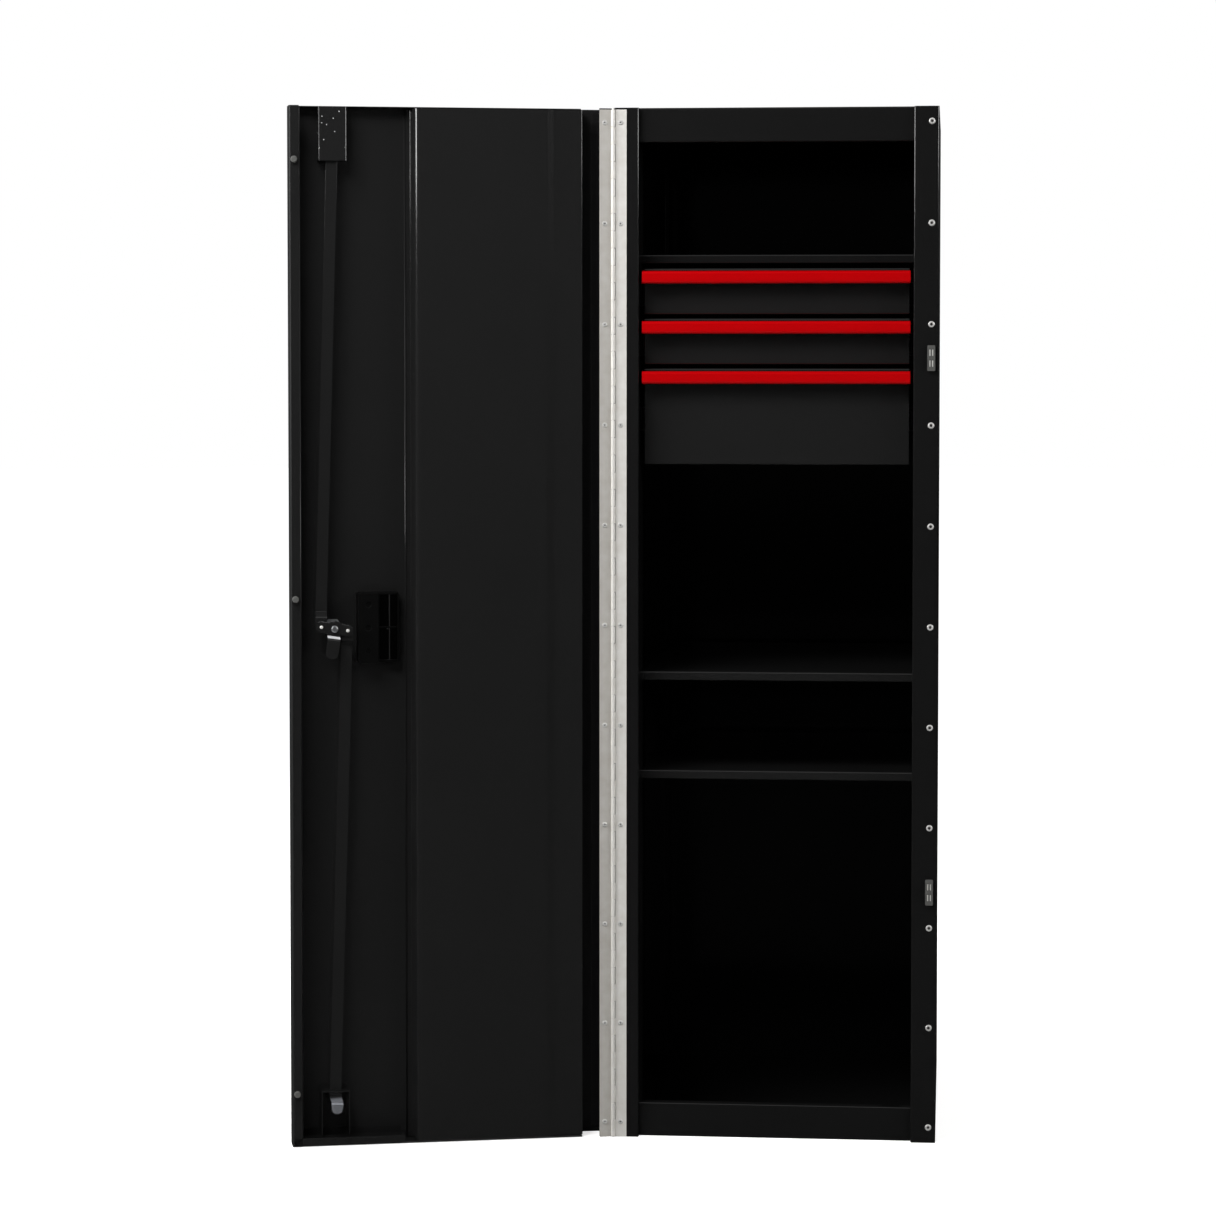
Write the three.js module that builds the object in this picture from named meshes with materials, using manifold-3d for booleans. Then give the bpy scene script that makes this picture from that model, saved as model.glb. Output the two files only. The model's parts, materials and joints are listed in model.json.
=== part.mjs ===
import * as THREE from 'three';
import { mergeVertices } from 'three/addons/utils/BufferGeometryUtils.js';
import Module from 'manifold-3d';

// A steel side locker for a tool chest, in millimetres. The origin is the middle of the cabinet's footprint
// on the floor, +z is up and the open face looks to -y. The door hangs on a piano hinge at the left and
// stands open.

// Overall sizes and sheet
const CABINET_WIDTH = 481;
const CABINET_HEIGHT = 1540;
const CABINET_DEPTH = 635;
const SHEET = 1.2;
const BEND_RADIUS = 1.8; // to the middle of the sheet
const SEAT = 0.3; // gap left between pieces that are fastened together
const OVERCUT = 1; // how far a cutting shape runs past what it cuts

// Folds of the cabinet's panels
const POST_WIDTH = 37;
const POST_RETURN = 20;
const REAR_FLANGE = 22;
const PAN_FLANGE = 20;
const RAIL_HEIGHT = 51;
const RAIL_SETBACK = 10;
const RAIL_RETURN = 16;

// Uprights and shelves
const BAY_RELIEF = 0.5; // the uprights stand this far outside the posts' inner edges
const BAY_REAR_GAP = 47.5;
const UPRIGHT_WIDTH = 60;
const SHELF_DROPS = { upper: 216.5, middle: 842, lower: 991 }; // shelf tops below the cabinet's top
const SHELF_SETBACK = 47;
const SHELF_LIP = 13.5;
const SHELF_LIP_RETURN = 10;
const SHELF_FLANGE = 20;
const SHELF_CORNER = 4; // the side flanges start this far behind the lip's return

// Drawers
const DRAWERS_DROP = 237.5; // top of the first drawer below the cabinet's top
const DRAWER_HEIGHTS = { top: 68.5, middle: 68.5, bottom: 143.5 };
const DRAWER_GAP = 6;
const DRAWER_SETBACK = 30;
const DRAWER_FRONT_GAP = 7; // beside a drawer front
const DRAWER_SHEET = 1;
const DRAWER_HEM = 12;
const DRAWER_FLOOR = 6; // the floor stands this high above the front's lower edge
const DRAWER_RIM = 14; // the walls stop this far below the front's top
const PULL_HEIGHT = 18.8;
const PULL_DROP = 4;
const PULL_SHEET = 2.5;
const PULL_BEND = 3.5;
const PULL_INSET = 2; // behind the cabinet's face
const PULL_FLANGE = 16;
const PULL_CURL = 7;
const PULL_END_GAP = 4.5;

// Drawer slides
const SLIDE_WIDTH = 12.7;
const SLIDE_HEIGHT = 35;
const SLIDE_FRONT_GAP = 14;
const BALL_ROOM = 3; // between the lips of neighbouring members
const MEMBER_GAP = 1.4; // between a lip's end and the next web

// Piano hinge
const HINGE_OFFSET = 1; // pin outside the cabinet's side
const HINGE_END_GAP = 0.5;
const LEAF_WIDTH = 20;
const LEAF_SHEET = 1.2;
const LEAF_CLEARANCE = 0.4; // between a leaf and the other leaf's knuckles
const KNUCKLE_DIAMETER = 5.6;
const KNUCKLE_COUNT = 60;
const KNUCKLE_GAP = 0.5;
const PIN_DIAMETER = 3;
const PIN_CLEARANCE = 0.1;

// Door pan and its inner panel
const DOOR_OPEN = 165.2; // degrees from closed
const DOOR_DEPTH = 38;
const DOOR_END_GAP = 1;
const DOOR_EDGE_GAP = 2; // the latch edge stops this far inside the cabinet's side
const LATCH_FLANGE = 14.5;
const END_WALL = 20;
const BOTTOM_RETURN = 12.5;
const LOCK_BAY = 170.5; // open width beside the latch edge
const LOCK_BAY_MARGIN = 4;
const INNER_FOOT = 12;
const INNER_LEAN = 3.5;
const INNER_START = 45; // hinge-side wall from the pin
const INNER_STEP_AT = 96;
const INNER_STEP_RUN = 6;
const INNER_STEP = 3;
const INNER_BOTTOM_GAP = 3;
const INNER_TOP_GAP = 3;

// Bumpers on the door and magnetic catches on the post
const BUMPER_DIAMETER = 10;
const BUMPER_INSET = 6.8;
const BUMPER_END_GAP = 79;
const BUMPER_ABOVE_LOCK = 44.5;
const BUMPER_STEM = 4.4;
const BUMPER_BARB = 6.4;
const BUMPER_BARB_LENGTH = 3.5;
const BUMPER_SOFTENING = 1.2; // of its rim and of the barb's edge
const CATCH_LENGTH = 38;
const CATCH_WIDTH = 11.5;
const CATCH_CORNER = 1.5;
const CATCH_INSET = 10.6;
const UPPER_CATCH_DROP = 371;
const LOWER_CATCH_HEIGHT = 376;
const POLE_LENGTH = 30;
const POLE_WIDTH = 7;
const POLE_SHEET = 1;
const PRONG_LENGTH = 9;
const PRONG_WIDTH = 1.4;
const PRONG_SPREAD = 4; // between the two rows
const PRONG_PITCH = 16;

// Flush pull
const PULL_CUP_BACKSET = 131.5;
const CUP_WIDTH = 62;
const CUP_HEIGHT = 104;
const CUP_WALL = 2.5;
const CUP_DEPTH = 27;
const CUP_SHALLOW_DEPTH = 14;
const CUP_DISH = 3;
const CUP_FLOOR = 6;
const CUP_END_WALL = 3.5;
const CUP_OVERHANG = 13;
const CUP_DIVIDE = 1.5; // the deep block starts this far to the latch side of the middle
const CUP_BEZEL = 2.5;
const CUP_BEZEL_MARGIN = 6;
const CUP_CORNER = 4;
const CELL_RIB = 1.5;
const CELL_RIB_HEIGHT = 6;
const CELL_RIB_WIDTH = 13;
const CELL_RIB_LENGTH = 22;
const DIMPLE_DIAMETER = 9;
const DIMPLE_DEPTH = 1.5;
const DIMPLE_PITCH = 34.5;

// Lock, cam and rods
const LOCK_BACKSET = 64.5;
const LOCK_DROP = 770;
const BARREL_DIAMETER = 19;
const BARREL_FLANGE = 24;
const BARREL_RIM = 2.2;
const NUT_ACROSS = 24;
const NUT_HEIGHT = 5;
const PLUG_DIAMETER = 12.2;
const PLUG_SQUARE = 8;
const KEYWAY_WIDTH = 1.6;
const KEYWAY_LENGTH = 7.5;
const KEYWAY_DEPTH = 12;
const CAM_SHEET = 3;
const CAM_SINK = 4; // back of the cam below the door's inner plane
const CAM_HUB = 12;
const CAM_EAR = 8;
const CAM_REST = 8; // degrees, tongue off the vertical in the unlocked place shown
const TONGUE_WIDTH = 19;
const TONGUE_LENGTH = 43.5;
const TONGUE_CLEARANCE = 2.6; // behind the post's sheet
const CRANK_START = 12;
const CRANK_RUN = 3;
const STRIKE_CLEARANCE = 1.5;
const STRIKE_HEADROOM = 4.5;
const SCREW_HEAD = 12;
const SCREW_HEAD_HEIGHT = 3.5;
const SCREW_SHAFT = 4;
const SCREW_LENGTH = 9; // under its head
const ROD_THROW = 19.7; // rod pins from the lock's axis
const ROD_PIN = 4.5;
const ROD_PIN_HEAD = 7;
const ROD_PIN_TAIL = 7;
const ROD_PIN_RIM = 1.5;
const RUNNING = 0.3; // all round a pin, plug or stem in its hole
const TAB_GAP = 0.4; // between the cam and a rod's tab
const ROD_WIDTH = 17;
const ROD_SHEET = 3;
const ROD_JOGGLE = 8.6;
const ROD_JOGGLE_START = 14;
const ROD_JOGGLE_RUN = 8;
const ROD_END_GAP = 48; // the upper rod's far end from the door's end, unlocked
const TIP_DROP = 7; // the lower rod's crank starts this far below its guide, unlocked
const TIP_RUN = 4;
const TIP_CLEARANCE = 2; // between the lower rod's tip and the sill's top, unlocked
const GUIDE_SHEET = 1.5;
const GUIDE_WIDTH = 42;
const GUIDE_SINK = 8; // front of a guide below the door's inner plane
const GUIDE_HEIGHT = 80;
const GUIDE_FOOT_GAP = 14.5;
const GUIDE_SLOT_WIDTH = 28;
const GUIDE_SLOT_PLAY = 3;

// How round things are drawn
const BEND_STEPS = 4;
const ROUND_SIDES = 24;
const SMALL_SIDES = 16;
const KNUCKLE_SIDES = 8;
const PIN_SIDES = 6;
const CORNER_STEPS = 3;

// Finishes
const BLACK_COAT = { color: 0x101011, roughness: 0.32, metalness: 0.1 };
const RED_COAT = { color: 0xb4060c, roughness: 0.3, metalness: 0.1 };
const STAINLESS = { color: 0xd8d5d0, roughness: 0.28, metalness: 1 };
const ZINC = { color: 0xa9abad, roughness: 0.42, metalness: 1 };
const CHROME = { color: 0xdcdcdc, roughness: 0.15, metalness: 1 };
const BLACK_PLASTIC = { color: 0x171718, roughness: 0.5, metalness: 0 };
const GREY_RUBBER = { color: 0x6c6c6a, roughness: 0.7, metalness: 0 };

// Places worked out from the sizes
const half = SHEET / 2;
const faceY = -CABINET_DEPTH / 2;
const backY = CABINET_DEPTH / 2;
const sideX = CABINET_WIDTH / 2;
const postInner = sideX - POST_WIDTH;
const bayHalf = postInner + BAY_RELIEF;
const bayRear = backY - BAY_REAR_GAP;
const panelInner = sideX - SHEET - SEAT;
const closedGap = KNUCKLE_DIAMETER + 2 * SEAT;
const pinX = -sideX - HINGE_OFFSET;
const pinY = faceY - closedGap / 2;
const latchU = HINGE_OFFSET + CABINET_WIDTH - DOOR_EDGE_GAP;
const doorBottom = DOOR_END_GAP;
const doorTop = CABINET_HEIGHT - DOOR_END_GAP;
const lockU = latchU - LOCK_BACKSET;
const lockZ = CABINET_HEIGHT - LOCK_DROP;
const camBack = DOOR_DEPTH - CAM_SINK;
const camFront = camBack + CAM_SHEET;
const tongueBehindFace = SHEET + TONGUE_CLEARANCE;
const tabFront = camBack - TAB_GAP;
const rodFront = tabFront - ROD_JOGGLE;
const guideFront = DOOR_DEPTH - GUIDE_SINK;
const tipBehindFace = RAIL_SETBACK + SHEET + TONGUE_CLEARANCE;
const tipEndZ = RAIL_HEIGHT + TIP_CLEARANCE;
const lowerGuideTop = doorBottom + GUIDE_HEIGHT;

const wasm = await Module();
wasm.setup();

const MERGE_TOLERANCE = 1e-4;
const X = new THREE.Vector3(1, 0, 0);
const Y = new THREE.Vector3(0, 1, 0);
const Z = new THREE.Vector3(0, 0, 1);

// An outline drawn along x lies in (y, z), along y in (x, z) and along z in (x, y).
const DIRECTIONS = {
  x: { basis: new THREE.Matrix4().makeBasis(Y, Z, X), backwards: false },
  y: { basis: new THREE.Matrix4().makeBasis(X, Z, Y.clone().negate()), backwards: true },
  z: { basis: new THREE.Matrix4(), backwards: false },
};

// A closed geometry as a solid that can be joined and cut
function solid(geometry) {
  geometry.deleteAttribute('normal');
  geometry.deleteAttribute('uv');
  const merged = mergeVertices(geometry, MERGE_TOLERANCE);
  const corners = merged.index.array;
  const kept = [];
  for (let i = 0; i < corners.length; i += 3) {
    const [a, b, c] = corners.slice(i, i + 3);
    if (a !== b && b !== c && c !== a) kept.push(a, b, c);
  }
  return new wasm.Manifold(new wasm.Mesh({
    numProp: 3,
    vertProperties: Float32Array.from(merged.attributes.position.array),
    triVerts: Uint32Array.from(kept),
  }));
}

function join(first, ...others) {
  return others.reduce((whole, part) => whole.add(part), first);
}

function cut(body, ...tools) {
  return tools.reduce((rest, tool) => rest.subtract(tool), body);
}

function prism(outline, axis, from, to) {
  const shape = new THREE.Shape(outline.map(([a, b]) => new THREE.Vector2(a, b)));
  const geometry = new THREE.ExtrudeGeometry(shape, { depth: to - from, bevelEnabled: false });
  const { basis, backwards } = DIRECTIONS[axis];
  geometry.translate(0, 0, backwards ? -to : from);
  return solid(geometry.applyMatrix4(basis));
}

function block(x, y, z) {
  const geometry = new THREE.BoxGeometry(x[1] - x[0], y[1] - y[0], z[1] - z[0]);
  return solid(geometry.translate((x[0] + x[1]) / 2, (y[0] + y[1]) / 2, (z[0] + z[1]) / 2));
}

// A profile of [radius, y] points turned about y, drawn upwards along its outside
function turned(profile, sides) {
  return solid(new THREE.LatheGeometry(profile.map(([r, y]) => new THREE.Vector2(r, y)), sides));
}

function ngon(x, y, radius, sides, turn = 0) {
  return Array.from({ length: sides }, (_, i) => {
    const angle = turn + (2 * Math.PI * i) / sides;
    return [x + radius * Math.cos(angle), y + radius * Math.sin(angle)];
  });
}

// A regular polygon with two flats square to y, given from flat to flat
function flats(across, sides) {
  const turn = Math.PI / 2 - Math.PI / sides;
  return ngon(0, 0, across / 2 / Math.cos(Math.PI / sides), sides, turn);
}

function rounded(x, y, radius, steps = CORNER_STEPS) {
  const centres = [
    [x[1] - radius, y[0] + radius],
    [x[1] - radius, y[1] - radius],
    [x[0] + radius, y[1] - radius],
    [x[0] + radius, y[0] + radius],
  ];
  return centres.flatMap(([cx, cy], corner) => Array.from({ length: steps + 1 }, (_, i) => {
    const angle = (Math.PI / 2) * (corner - 1 + i / steps);
    return [cx + radius * Math.cos(angle), cy + radius * Math.sin(angle)];
  }));
}

// The outline of a sheet folded at the given corners, which run along its middle
function folded(corners, thickness = SHEET, bend = BEND_RADIUS) {
  const points = corners.map(([a, b]) => new THREE.Vector2(a, b));
  const left = [];
  const right = [];
  const add = (point, normal) => {
    left.push(point.clone().addScaledVector(normal, thickness / 2).toArray());
    right.unshift(point.clone().addScaledVector(normal, -thickness / 2).toArray());
  };
  const way = (from, to) => to.clone().sub(from).normalize();
  const leftOf = (v) => new THREE.Vector2(-v.y, v.x);
  const end = points.length - 1;
  add(points[0], leftOf(way(points[0], points[1])));
  for (let i = 1; i < end; i += 1) {
    const before = way(points[i - 1], points[i]);
    const after = way(points[i], points[i + 1]);
    const turn = Math.atan2(before.cross(after), before.dot(after));
    const side = Math.sign(turn) * bend;
    const start = points[i].clone().addScaledVector(before, -bend * Math.tan(Math.abs(turn) / 2));
    const centre = start.addScaledVector(leftOf(before), side);
    for (let step = 0; step <= BEND_STEPS; step += 1) {
      const normal = leftOf(before).rotateAround(new THREE.Vector2(), (turn * step) / BEND_STEPS);
      add(centre.clone().addScaledVector(normal, -side), normal);
    }
  }
  add(points[end], leftOf(way(points[end - 1], points[end])));
  return [...left, ...right];
}

function piece(parent, name, body, finish) {
  const { vertProperties, triVerts } = body.getMesh();
  const geometry = new THREE.BufferGeometry();
  geometry.setAttribute('position', new THREE.BufferAttribute(vertProperties, 3));
  geometry.setIndex(new THREE.BufferAttribute(triVerts, 1));
  geometry.computeVertexNormals();
  const mesh = new THREE.Mesh(geometry, new THREE.MeshStandardMaterial({ ...finish, flatShading: true }));
  mesh.name = name;
  parent.add(mesh);
  return mesh;
}

// Cabinet panels

function sidePanel(hand) {
  const outline = folded([
    [postInner + half, faceY + POST_RETURN],
    [postInner + half, faceY + half],
    [sideX - half, faceY + half],
    [sideX - half, backY - half],
    [sideX - REAR_FLANGE, backY - half],
  ]);
  return prism(outline.map(([x, y]) => [hand * x, y]), 'z', 0, CABINET_HEIGHT);
}

// The lock's tongue swings through this slot in the right post's return
function strikeSlot() {
  return block(
    [postInner - SHEET, postInner + 2 * SHEET],
    [faceY + tongueBehindFace - STRIKE_CLEARANCE, faceY + tongueBehindFace + CAM_SHEET + STRIKE_CLEARANCE],
    [lockZ - TONGUE_LENGTH - STRIKE_CLEARANCE, lockZ + TONGUE_WIDTH / 2 + STRIKE_HEADROOM],
  );
}

// A floor with upturned flanges, notched round the posts, and the rail folded up at its front
function endPan() {
  const edge = panelInner - half;
  const front = faceY + SHEET + BEND_RADIUS + SEAT;
  const rear = backY - 2 * SHEET - 2 * SEAT;
  const behindPosts = faceY + POST_RETURN + SEAT;
  const railY = faceY + RAIL_SETBACK;
  const railHalf = postInner - SEAT;
  const notch = postInner + SHEET + SEAT;
  const tray = prism(
    folded([[-edge, PAN_FLANGE], [-edge, half], [edge, half], [edge, PAN_FLANGE]]), 'y', front, rear,
  );
  const rearFlange = block([-edge, edge], [rear - SHEET, rear], [half, PAN_FLANGE]);
  const rail = prism(folded([
    [behindPosts + SHEET, half],
    [railY + half, half],
    [railY + half, RAIL_HEIGHT - half],
    [railY + RAIL_RETURN, RAIL_HEIGHT - half],
  ]), 'x', -railHalf, railHalf);
  const clear = block([-notch, notch], [faceY, behindPosts], [-SHEET, PAN_FLANGE]);
  return join(cut(tray, clear), rearFlange, rail);
}

// The lower rod's tip drops through this notch in the top of the sill
function tipNotch() {
  const middle = pinX + lockU;
  const front = faceY + tipBehindFace - STRIKE_CLEARANCE;
  return block(
    [middle - GUIDE_SLOT_WIDTH / 2, middle + GUIDE_SLOT_WIDTH / 2],
    [front, front + RAIL_RETURN],
    [RAIL_HEIGHT - BEND_RADIUS - SHEET, RAIL_HEIGHT + OVERCUT],
  );
}

function upright(hand, front) {
  const outer = panelInner;
  const web = bayHalf + half;
  const outline = folded([
    [outer, front + half],
    [web, front + half],
    [web, front + UPRIGHT_WIDTH - half],
    [outer, front + UPRIGHT_WIDTH - half],
  ]);
  const foot = PAN_FLANGE + SEAT;
  return prism(outline.map(([x, y]) => [hand * x, y]), 'z', foot, CABINET_HEIGHT - foot);
}

function shelf() {
  const width = bayHalf - SEAT;
  const edge = width - half;
  const front = faceY + SHELF_SETBACK;
  const deckStart = front + SHELF_LIP_RETURN + SHELF_CORNER;
  const lip = prism(folded([
    [deckStart + SHEET, -half],
    [front + half, -half],
    [front + half, half - SHELF_LIP],
    [front + SHELF_LIP_RETURN, half - SHELF_LIP],
  ]), 'x', -width, width);
  const deck = prism(
    folded([[-edge, -SHELF_FLANGE], [-edge, -half], [edge, -half], [edge, -SHELF_FLANGE]]),
    'y', deckStart, bayRear,
  );
  const rearFlange = block([-edge, edge], [bayRear - SHEET, bayRear], [-SHELF_FLANGE, -half]);
  return join(lip, deck, rearFlange);
}

// Piano hinge: one leaf, its knuckles on the pin's axis, for the even places along the pin
function hingeLeaf() {
  const length = CABINET_HEIGHT - 2 * HINGE_END_GAP;
  const pitch = length / KNUCKLE_COUNT;
  const radius = KNUCKLE_DIAMETER / 2;
  const leafY = [radius - LEAF_SHEET, radius];
  const notch = radius / Math.cos(Math.PI / KNUCKLE_SIDES) + LEAF_CLEARANCE;
  let leaf = block([notch, LEAF_WIDTH], leafY, [HINGE_END_GAP, HINGE_END_GAP + length]);
  for (let i = 0; i < KNUCKLE_COUNT; i += 2) {
    const low = HINGE_END_GAP + i * pitch + KNUCKLE_GAP / 2;
    const high = low + pitch - KNUCKLE_GAP;
    const knuckle = prism(flats(KNUCKLE_DIAMETER, KNUCKLE_SIDES), 'z', low, high);
    leaf = join(leaf, knuckle, block([0, notch + LEAF_SHEET], leafY, [low, high]));
  }
  const bore = flats(PIN_DIAMETER + 2 * PIN_CLEARANCE, PIN_SIDES);
  return cut(leaf, prism(bore, 'z', 0, CABINET_HEIGHT));
}

// Magnetic catch: a housing open at the back and a pole piece whose prongs show at the front
function poleParts(clearance, front) {
  const back = -SEAT - POLE_SHEET;
  const plate = block(
    [-POLE_WIDTH / 2 - clearance, POLE_WIDTH / 2 + clearance],
    [back - clearance, -SEAT + clearance],
    [-POLE_LENGTH / 2 - clearance, POLE_LENGTH / 2 + clearance],
  );
  const prongs = [-1, 1].flatMap((side) => [-1, 1].map((end) => {
    const x = (side * PRONG_SPREAD) / 2;
    const z = (end * PRONG_PITCH) / 2;
    return block(
      [x - PRONG_WIDTH / 2 - clearance, x + PRONG_WIDTH / 2 + clearance],
      [front, back + POLE_SHEET / 2],
      [z - PRONG_LENGTH / 2 - clearance, z + PRONG_LENGTH / 2 + clearance],
    );
  }));
  return join(plate, ...prongs);
}

function addCatch(parent, name, z) {
  const front = SEAT - closedGap;
  const outline = rounded(
    [-CATCH_WIDTH / 2, CATCH_WIDTH / 2], [-CATCH_LENGTH / 2, CATCH_LENGTH / 2], CATCH_CORNER,
  );
  const housing = cut(prism(outline, 'y', front, -SEAT), poleParts(SEAT, front - OVERCUT));
  const pole = poleParts(0, front + SEAT);
  for (const [node, body, finish] of [['housing', housing, BLACK_PLASTIC], ['pole', pole, ZINC]]) {
    piece(parent, `${name}_catch_${node}`, body, finish).position.set(sideX - CATCH_INSET, faceY, z);
  }
}

function buildCabinet() {
  const cabinet = new THREE.Group();
  piece(cabinet, 'left_side_panel', sidePanel(-1), BLACK_COAT);
  piece(cabinet, 'right_side_panel', cut(sidePanel(1), strikeSlot()), BLACK_COAT);
  const backHalf = panelInner - BEND_RADIUS;
  const back = [backY - 2 * SHEET - SEAT, backY - SHEET - SEAT];
  piece(cabinet, 'back_panel', block([-backHalf, backHalf], back, [0, CABINET_HEIGHT]), BLACK_COAT);
  piece(cabinet, 'bottom_panel', cut(endPan(), tipNotch()), BLACK_COAT);
  const topPanel = piece(cabinet, 'top_panel', endPan(), BLACK_COAT);
  topPanel.rotation.y = Math.PI;
  topPanel.position.z = CABINET_HEIGHT;
  const uprightFronts = { front: faceY + POST_RETURN + SEAT, rear: bayRear - UPRIGHT_WIDTH };
  for (const [place, front] of Object.entries(uprightFronts)) {
    piece(cabinet, `${place}_left_upright`, upright(-1, front), BLACK_COAT);
    piece(cabinet, `${place}_right_upright`, upright(1, front), BLACK_COAT);
  }
  for (const [place, drop] of Object.entries(SHELF_DROPS)) {
    piece(cabinet, `${place}_shelf`, shelf(), BLACK_COAT).position.z = CABINET_HEIGHT - drop;
  }
  piece(cabinet, 'hinge_cabinet_leaf', hingeLeaf(), STAINLESS).position.set(pinX, pinY, 0);
  const pin = prism(
    ngon(0, 0, PIN_DIAMETER / 2, PIN_SIDES, Math.PI / 2 - Math.PI / PIN_SIDES),
    'z', HINGE_END_GAP, CABINET_HEIGHT - HINGE_END_GAP,
  );
  piece(cabinet, 'hinge_pin', pin, STAINLESS).position.set(pinX, pinY, 0);
  addCatch(cabinet, 'upper', CABINET_HEIGHT - UPPER_CATCH_DROP);
  addCatch(cabinet, 'lower', LOWER_CATCH_HEIGHT);
  return cabinet;
}

// Drawers and their telescopic slides

// The three members nest: each has its web's place from the upright and how far its lips reach
function slideMembers() {
  const outerWeb = SEAT + half;
  const innerWeb = SLIDE_WIDTH - half;
  const middleWeb = outerWeb + SHEET + MEMBER_GAP;
  const lipEnd = innerWeb - half - MEMBER_GAP;
  const outerHalf = SLIDE_HEIGHT / 2 - half;
  const step = SHEET + BALL_ROOM;
  return {
    outer: { web: outerWeb, lip: lipEnd, halfHeight: outerHalf },
    middle: { web: middleWeb, lip: lipEnd, halfHeight: outerHalf - step },
    inner: { web: innerWeb, lip: middleWeb + half + MEMBER_GAP, halfHeight: outerHalf - 2 * step },
  };
}

function slideMember(hand, { web, lip, halfHeight }, front) {
  const outline = folded([[lip, halfHeight], [web, halfHeight], [web, -halfHeight], [lip, -halfHeight]]);
  return prism(outline.map(([s, z]) => [hand * (bayHalf - s), z]), 'y', front, bayRear);
}

function drawerBody(height, front) {
  const t = DRAWER_SHEET / 2;
  const frontHalf = bayHalf - DRAWER_FRONT_GAP;
  const edge = bayHalf - SLIDE_WIDTH - SEAT - t;
  const rim = height - DRAWER_RIM;
  const face = prism(folded([
    [front + DRAWER_HEM, height - t],
    [front + t, height - t],
    [front + t, t],
    [front + DRAWER_HEM, t],
  ], DRAWER_SHEET), 'x', -frontHalf, frontHalf);
  const floor = DRAWER_FLOOR + t;
  const tub = prism(
    folded([[-edge, rim], [-edge, floor], [edge, floor], [edge, rim]], DRAWER_SHEET), 'y', front + t, bayRear,
  );
  const back = block([-edge, edge], [bayRear - DRAWER_SHEET, bayRear], [floor, rim]);
  return join(face, tub, back);
}

function drawerPull(height, front) {
  const t = PULL_SHEET / 2;
  const top = height - PULL_DROP - t;
  const low = height - PULL_DROP - PULL_HEIGHT + t;
  const lipY = faceY + PULL_INSET + t;
  const backing = front - SEAT - t;
  const width = postInner - PULL_END_GAP;
  return prism(folded([
    [backing, height - PULL_DROP - PULL_FLANGE],
    [backing, top],
    [lipY, top],
    [lipY, low],
    [lipY + PULL_CURL, low],
  ], PULL_SHEET, PULL_BEND), 'x', -width, width);
}

function buildDrawers() {
  const drawers = new THREE.Group();
  const front = faceY + DRAWER_SETBACK;
  const members = slideMembers();
  let top = CABINET_HEIGHT - DRAWERS_DROP;
  for (const [place, height] of Object.entries(DRAWER_HEIGHTS)) {
    const drawer = new THREE.Group();
    drawer.position.z = top - height;
    piece(drawer, `${place}_drawer_body`, drawerBody(height, front), BLACK_COAT);
    piece(drawer, `${place}_drawer_pull`, drawerPull(height, front), RED_COAT);
    for (const [side, hand] of [['left', -1], ['right', 1]]) {
      for (const [member, section] of Object.entries(members)) {
        const body = slideMember(hand, section, front + SLIDE_FRONT_GAP);
        const mesh = piece(drawer, `${place}_drawer_${side}_${member}_slide`, body, ZINC);
        mesh.position.z = (DRAWER_FLOOR + height - DRAWER_RIM) / 2;
      }
    }
    drawers.add(drawer);
    top -= height + DRAWER_GAP;
  }
  return drawers;
}

// Door, in its own frame: x runs from the pin to the latch edge, y inwards. Depths count from the skin.
const doorY = (depth) => depth - DOOR_DEPTH - closedGap / 2;
const depths = (from, to) => [doorY(from), doorY(to)];

function doorPan(cutters) {
  const inner = doorY(DOOR_DEPTH - half);
  const skin = doorY(half);
  const pan = prism(folded([
    [LEAF_WIDTH, inner],
    [HINGE_OFFSET + half, inner],
    [HINGE_OFFSET + half, skin],
    [latchU - half, skin],
    [latchU - half, inner],
    [latchU - LATCH_FLANGE, inner],
  ]), 'z', doorBottom, doorTop);
  const across = [INNER_START, latchU - half];
  const bottomWall = block(across, depths(half, END_WALL), [doorBottom, doorBottom + SHEET]);
  const topWall = block(across, depths(half, END_WALL), [doorTop - SHEET, doorTop]);
  const bayStart = latchU - LOCK_BAY + LOCK_BAY_MARGIN;
  const bottomReturn = block(
    [bayStart, latchU - half], depths(END_WALL - SHEET, END_WALL), [doorBottom, doorBottom + BOTTOM_RETURN],
  );
  return cut(join(pan, bottomWall, topWall, bottomReturn), ...cutters);
}

// A hat section over the hinge side of the pan, with a shallow step down to a land beside the hinge
function innerPanel() {
  const low = doorY(SHEET + SEAT + half);
  const top = doorY(DOOR_DEPTH - half);
  const land = top - INNER_STEP;
  const footEnd = latchU - LOCK_BAY;
  const wall = INNER_START + half;
  return prism(folded([
    [footEnd, low],
    [footEnd - INNER_FOOT, low],
    [footEnd - INNER_FOOT - INNER_LEAN, top],
    [INNER_STEP_AT, top],
    [INNER_STEP_AT - INNER_STEP_RUN, land],
    [wall, land],
    [wall, low],
    [wall + INNER_FOOT, low],
  ]), 'z', doorBottom + INNER_BOTTOM_GAP, doorTop - INNER_TOP_GAP);
}

function bumper() {
  const neck = doorY(DOOR_DEPTH - SHEET - SEAT);
  const stem = BUMPER_STEM / 2;
  const barb = BUMPER_BARB / 2;
  const rim = BUMPER_DIAMETER / 2;
  const base = doorY(DOOR_DEPTH + SEAT);
  const top = doorY(DOOR_DEPTH + closedGap - SEAT);
  return turned([
    [0, neck - BUMPER_BARB_LENGTH],
    [stem, neck - BUMPER_BARB_LENGTH],
    [barb, neck - BUMPER_SOFTENING],
    [barb, neck],
    [stem, neck],
    [stem, base],
    [rim, base],
    [rim, top - BUMPER_SOFTENING],
    [rim - BUMPER_SOFTENING, top],
    [0, top],
  ], SMALL_SIDES);
}

function cupOutline(margin, radius = CUP_CORNER) {
  const reachX = CUP_WIDTH / 2 + margin;
  const reachZ = CUP_HEIGHT / 2 + margin;
  return rounded([-reachX, reachX], [-reachZ, reachZ], radius);
}

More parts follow.
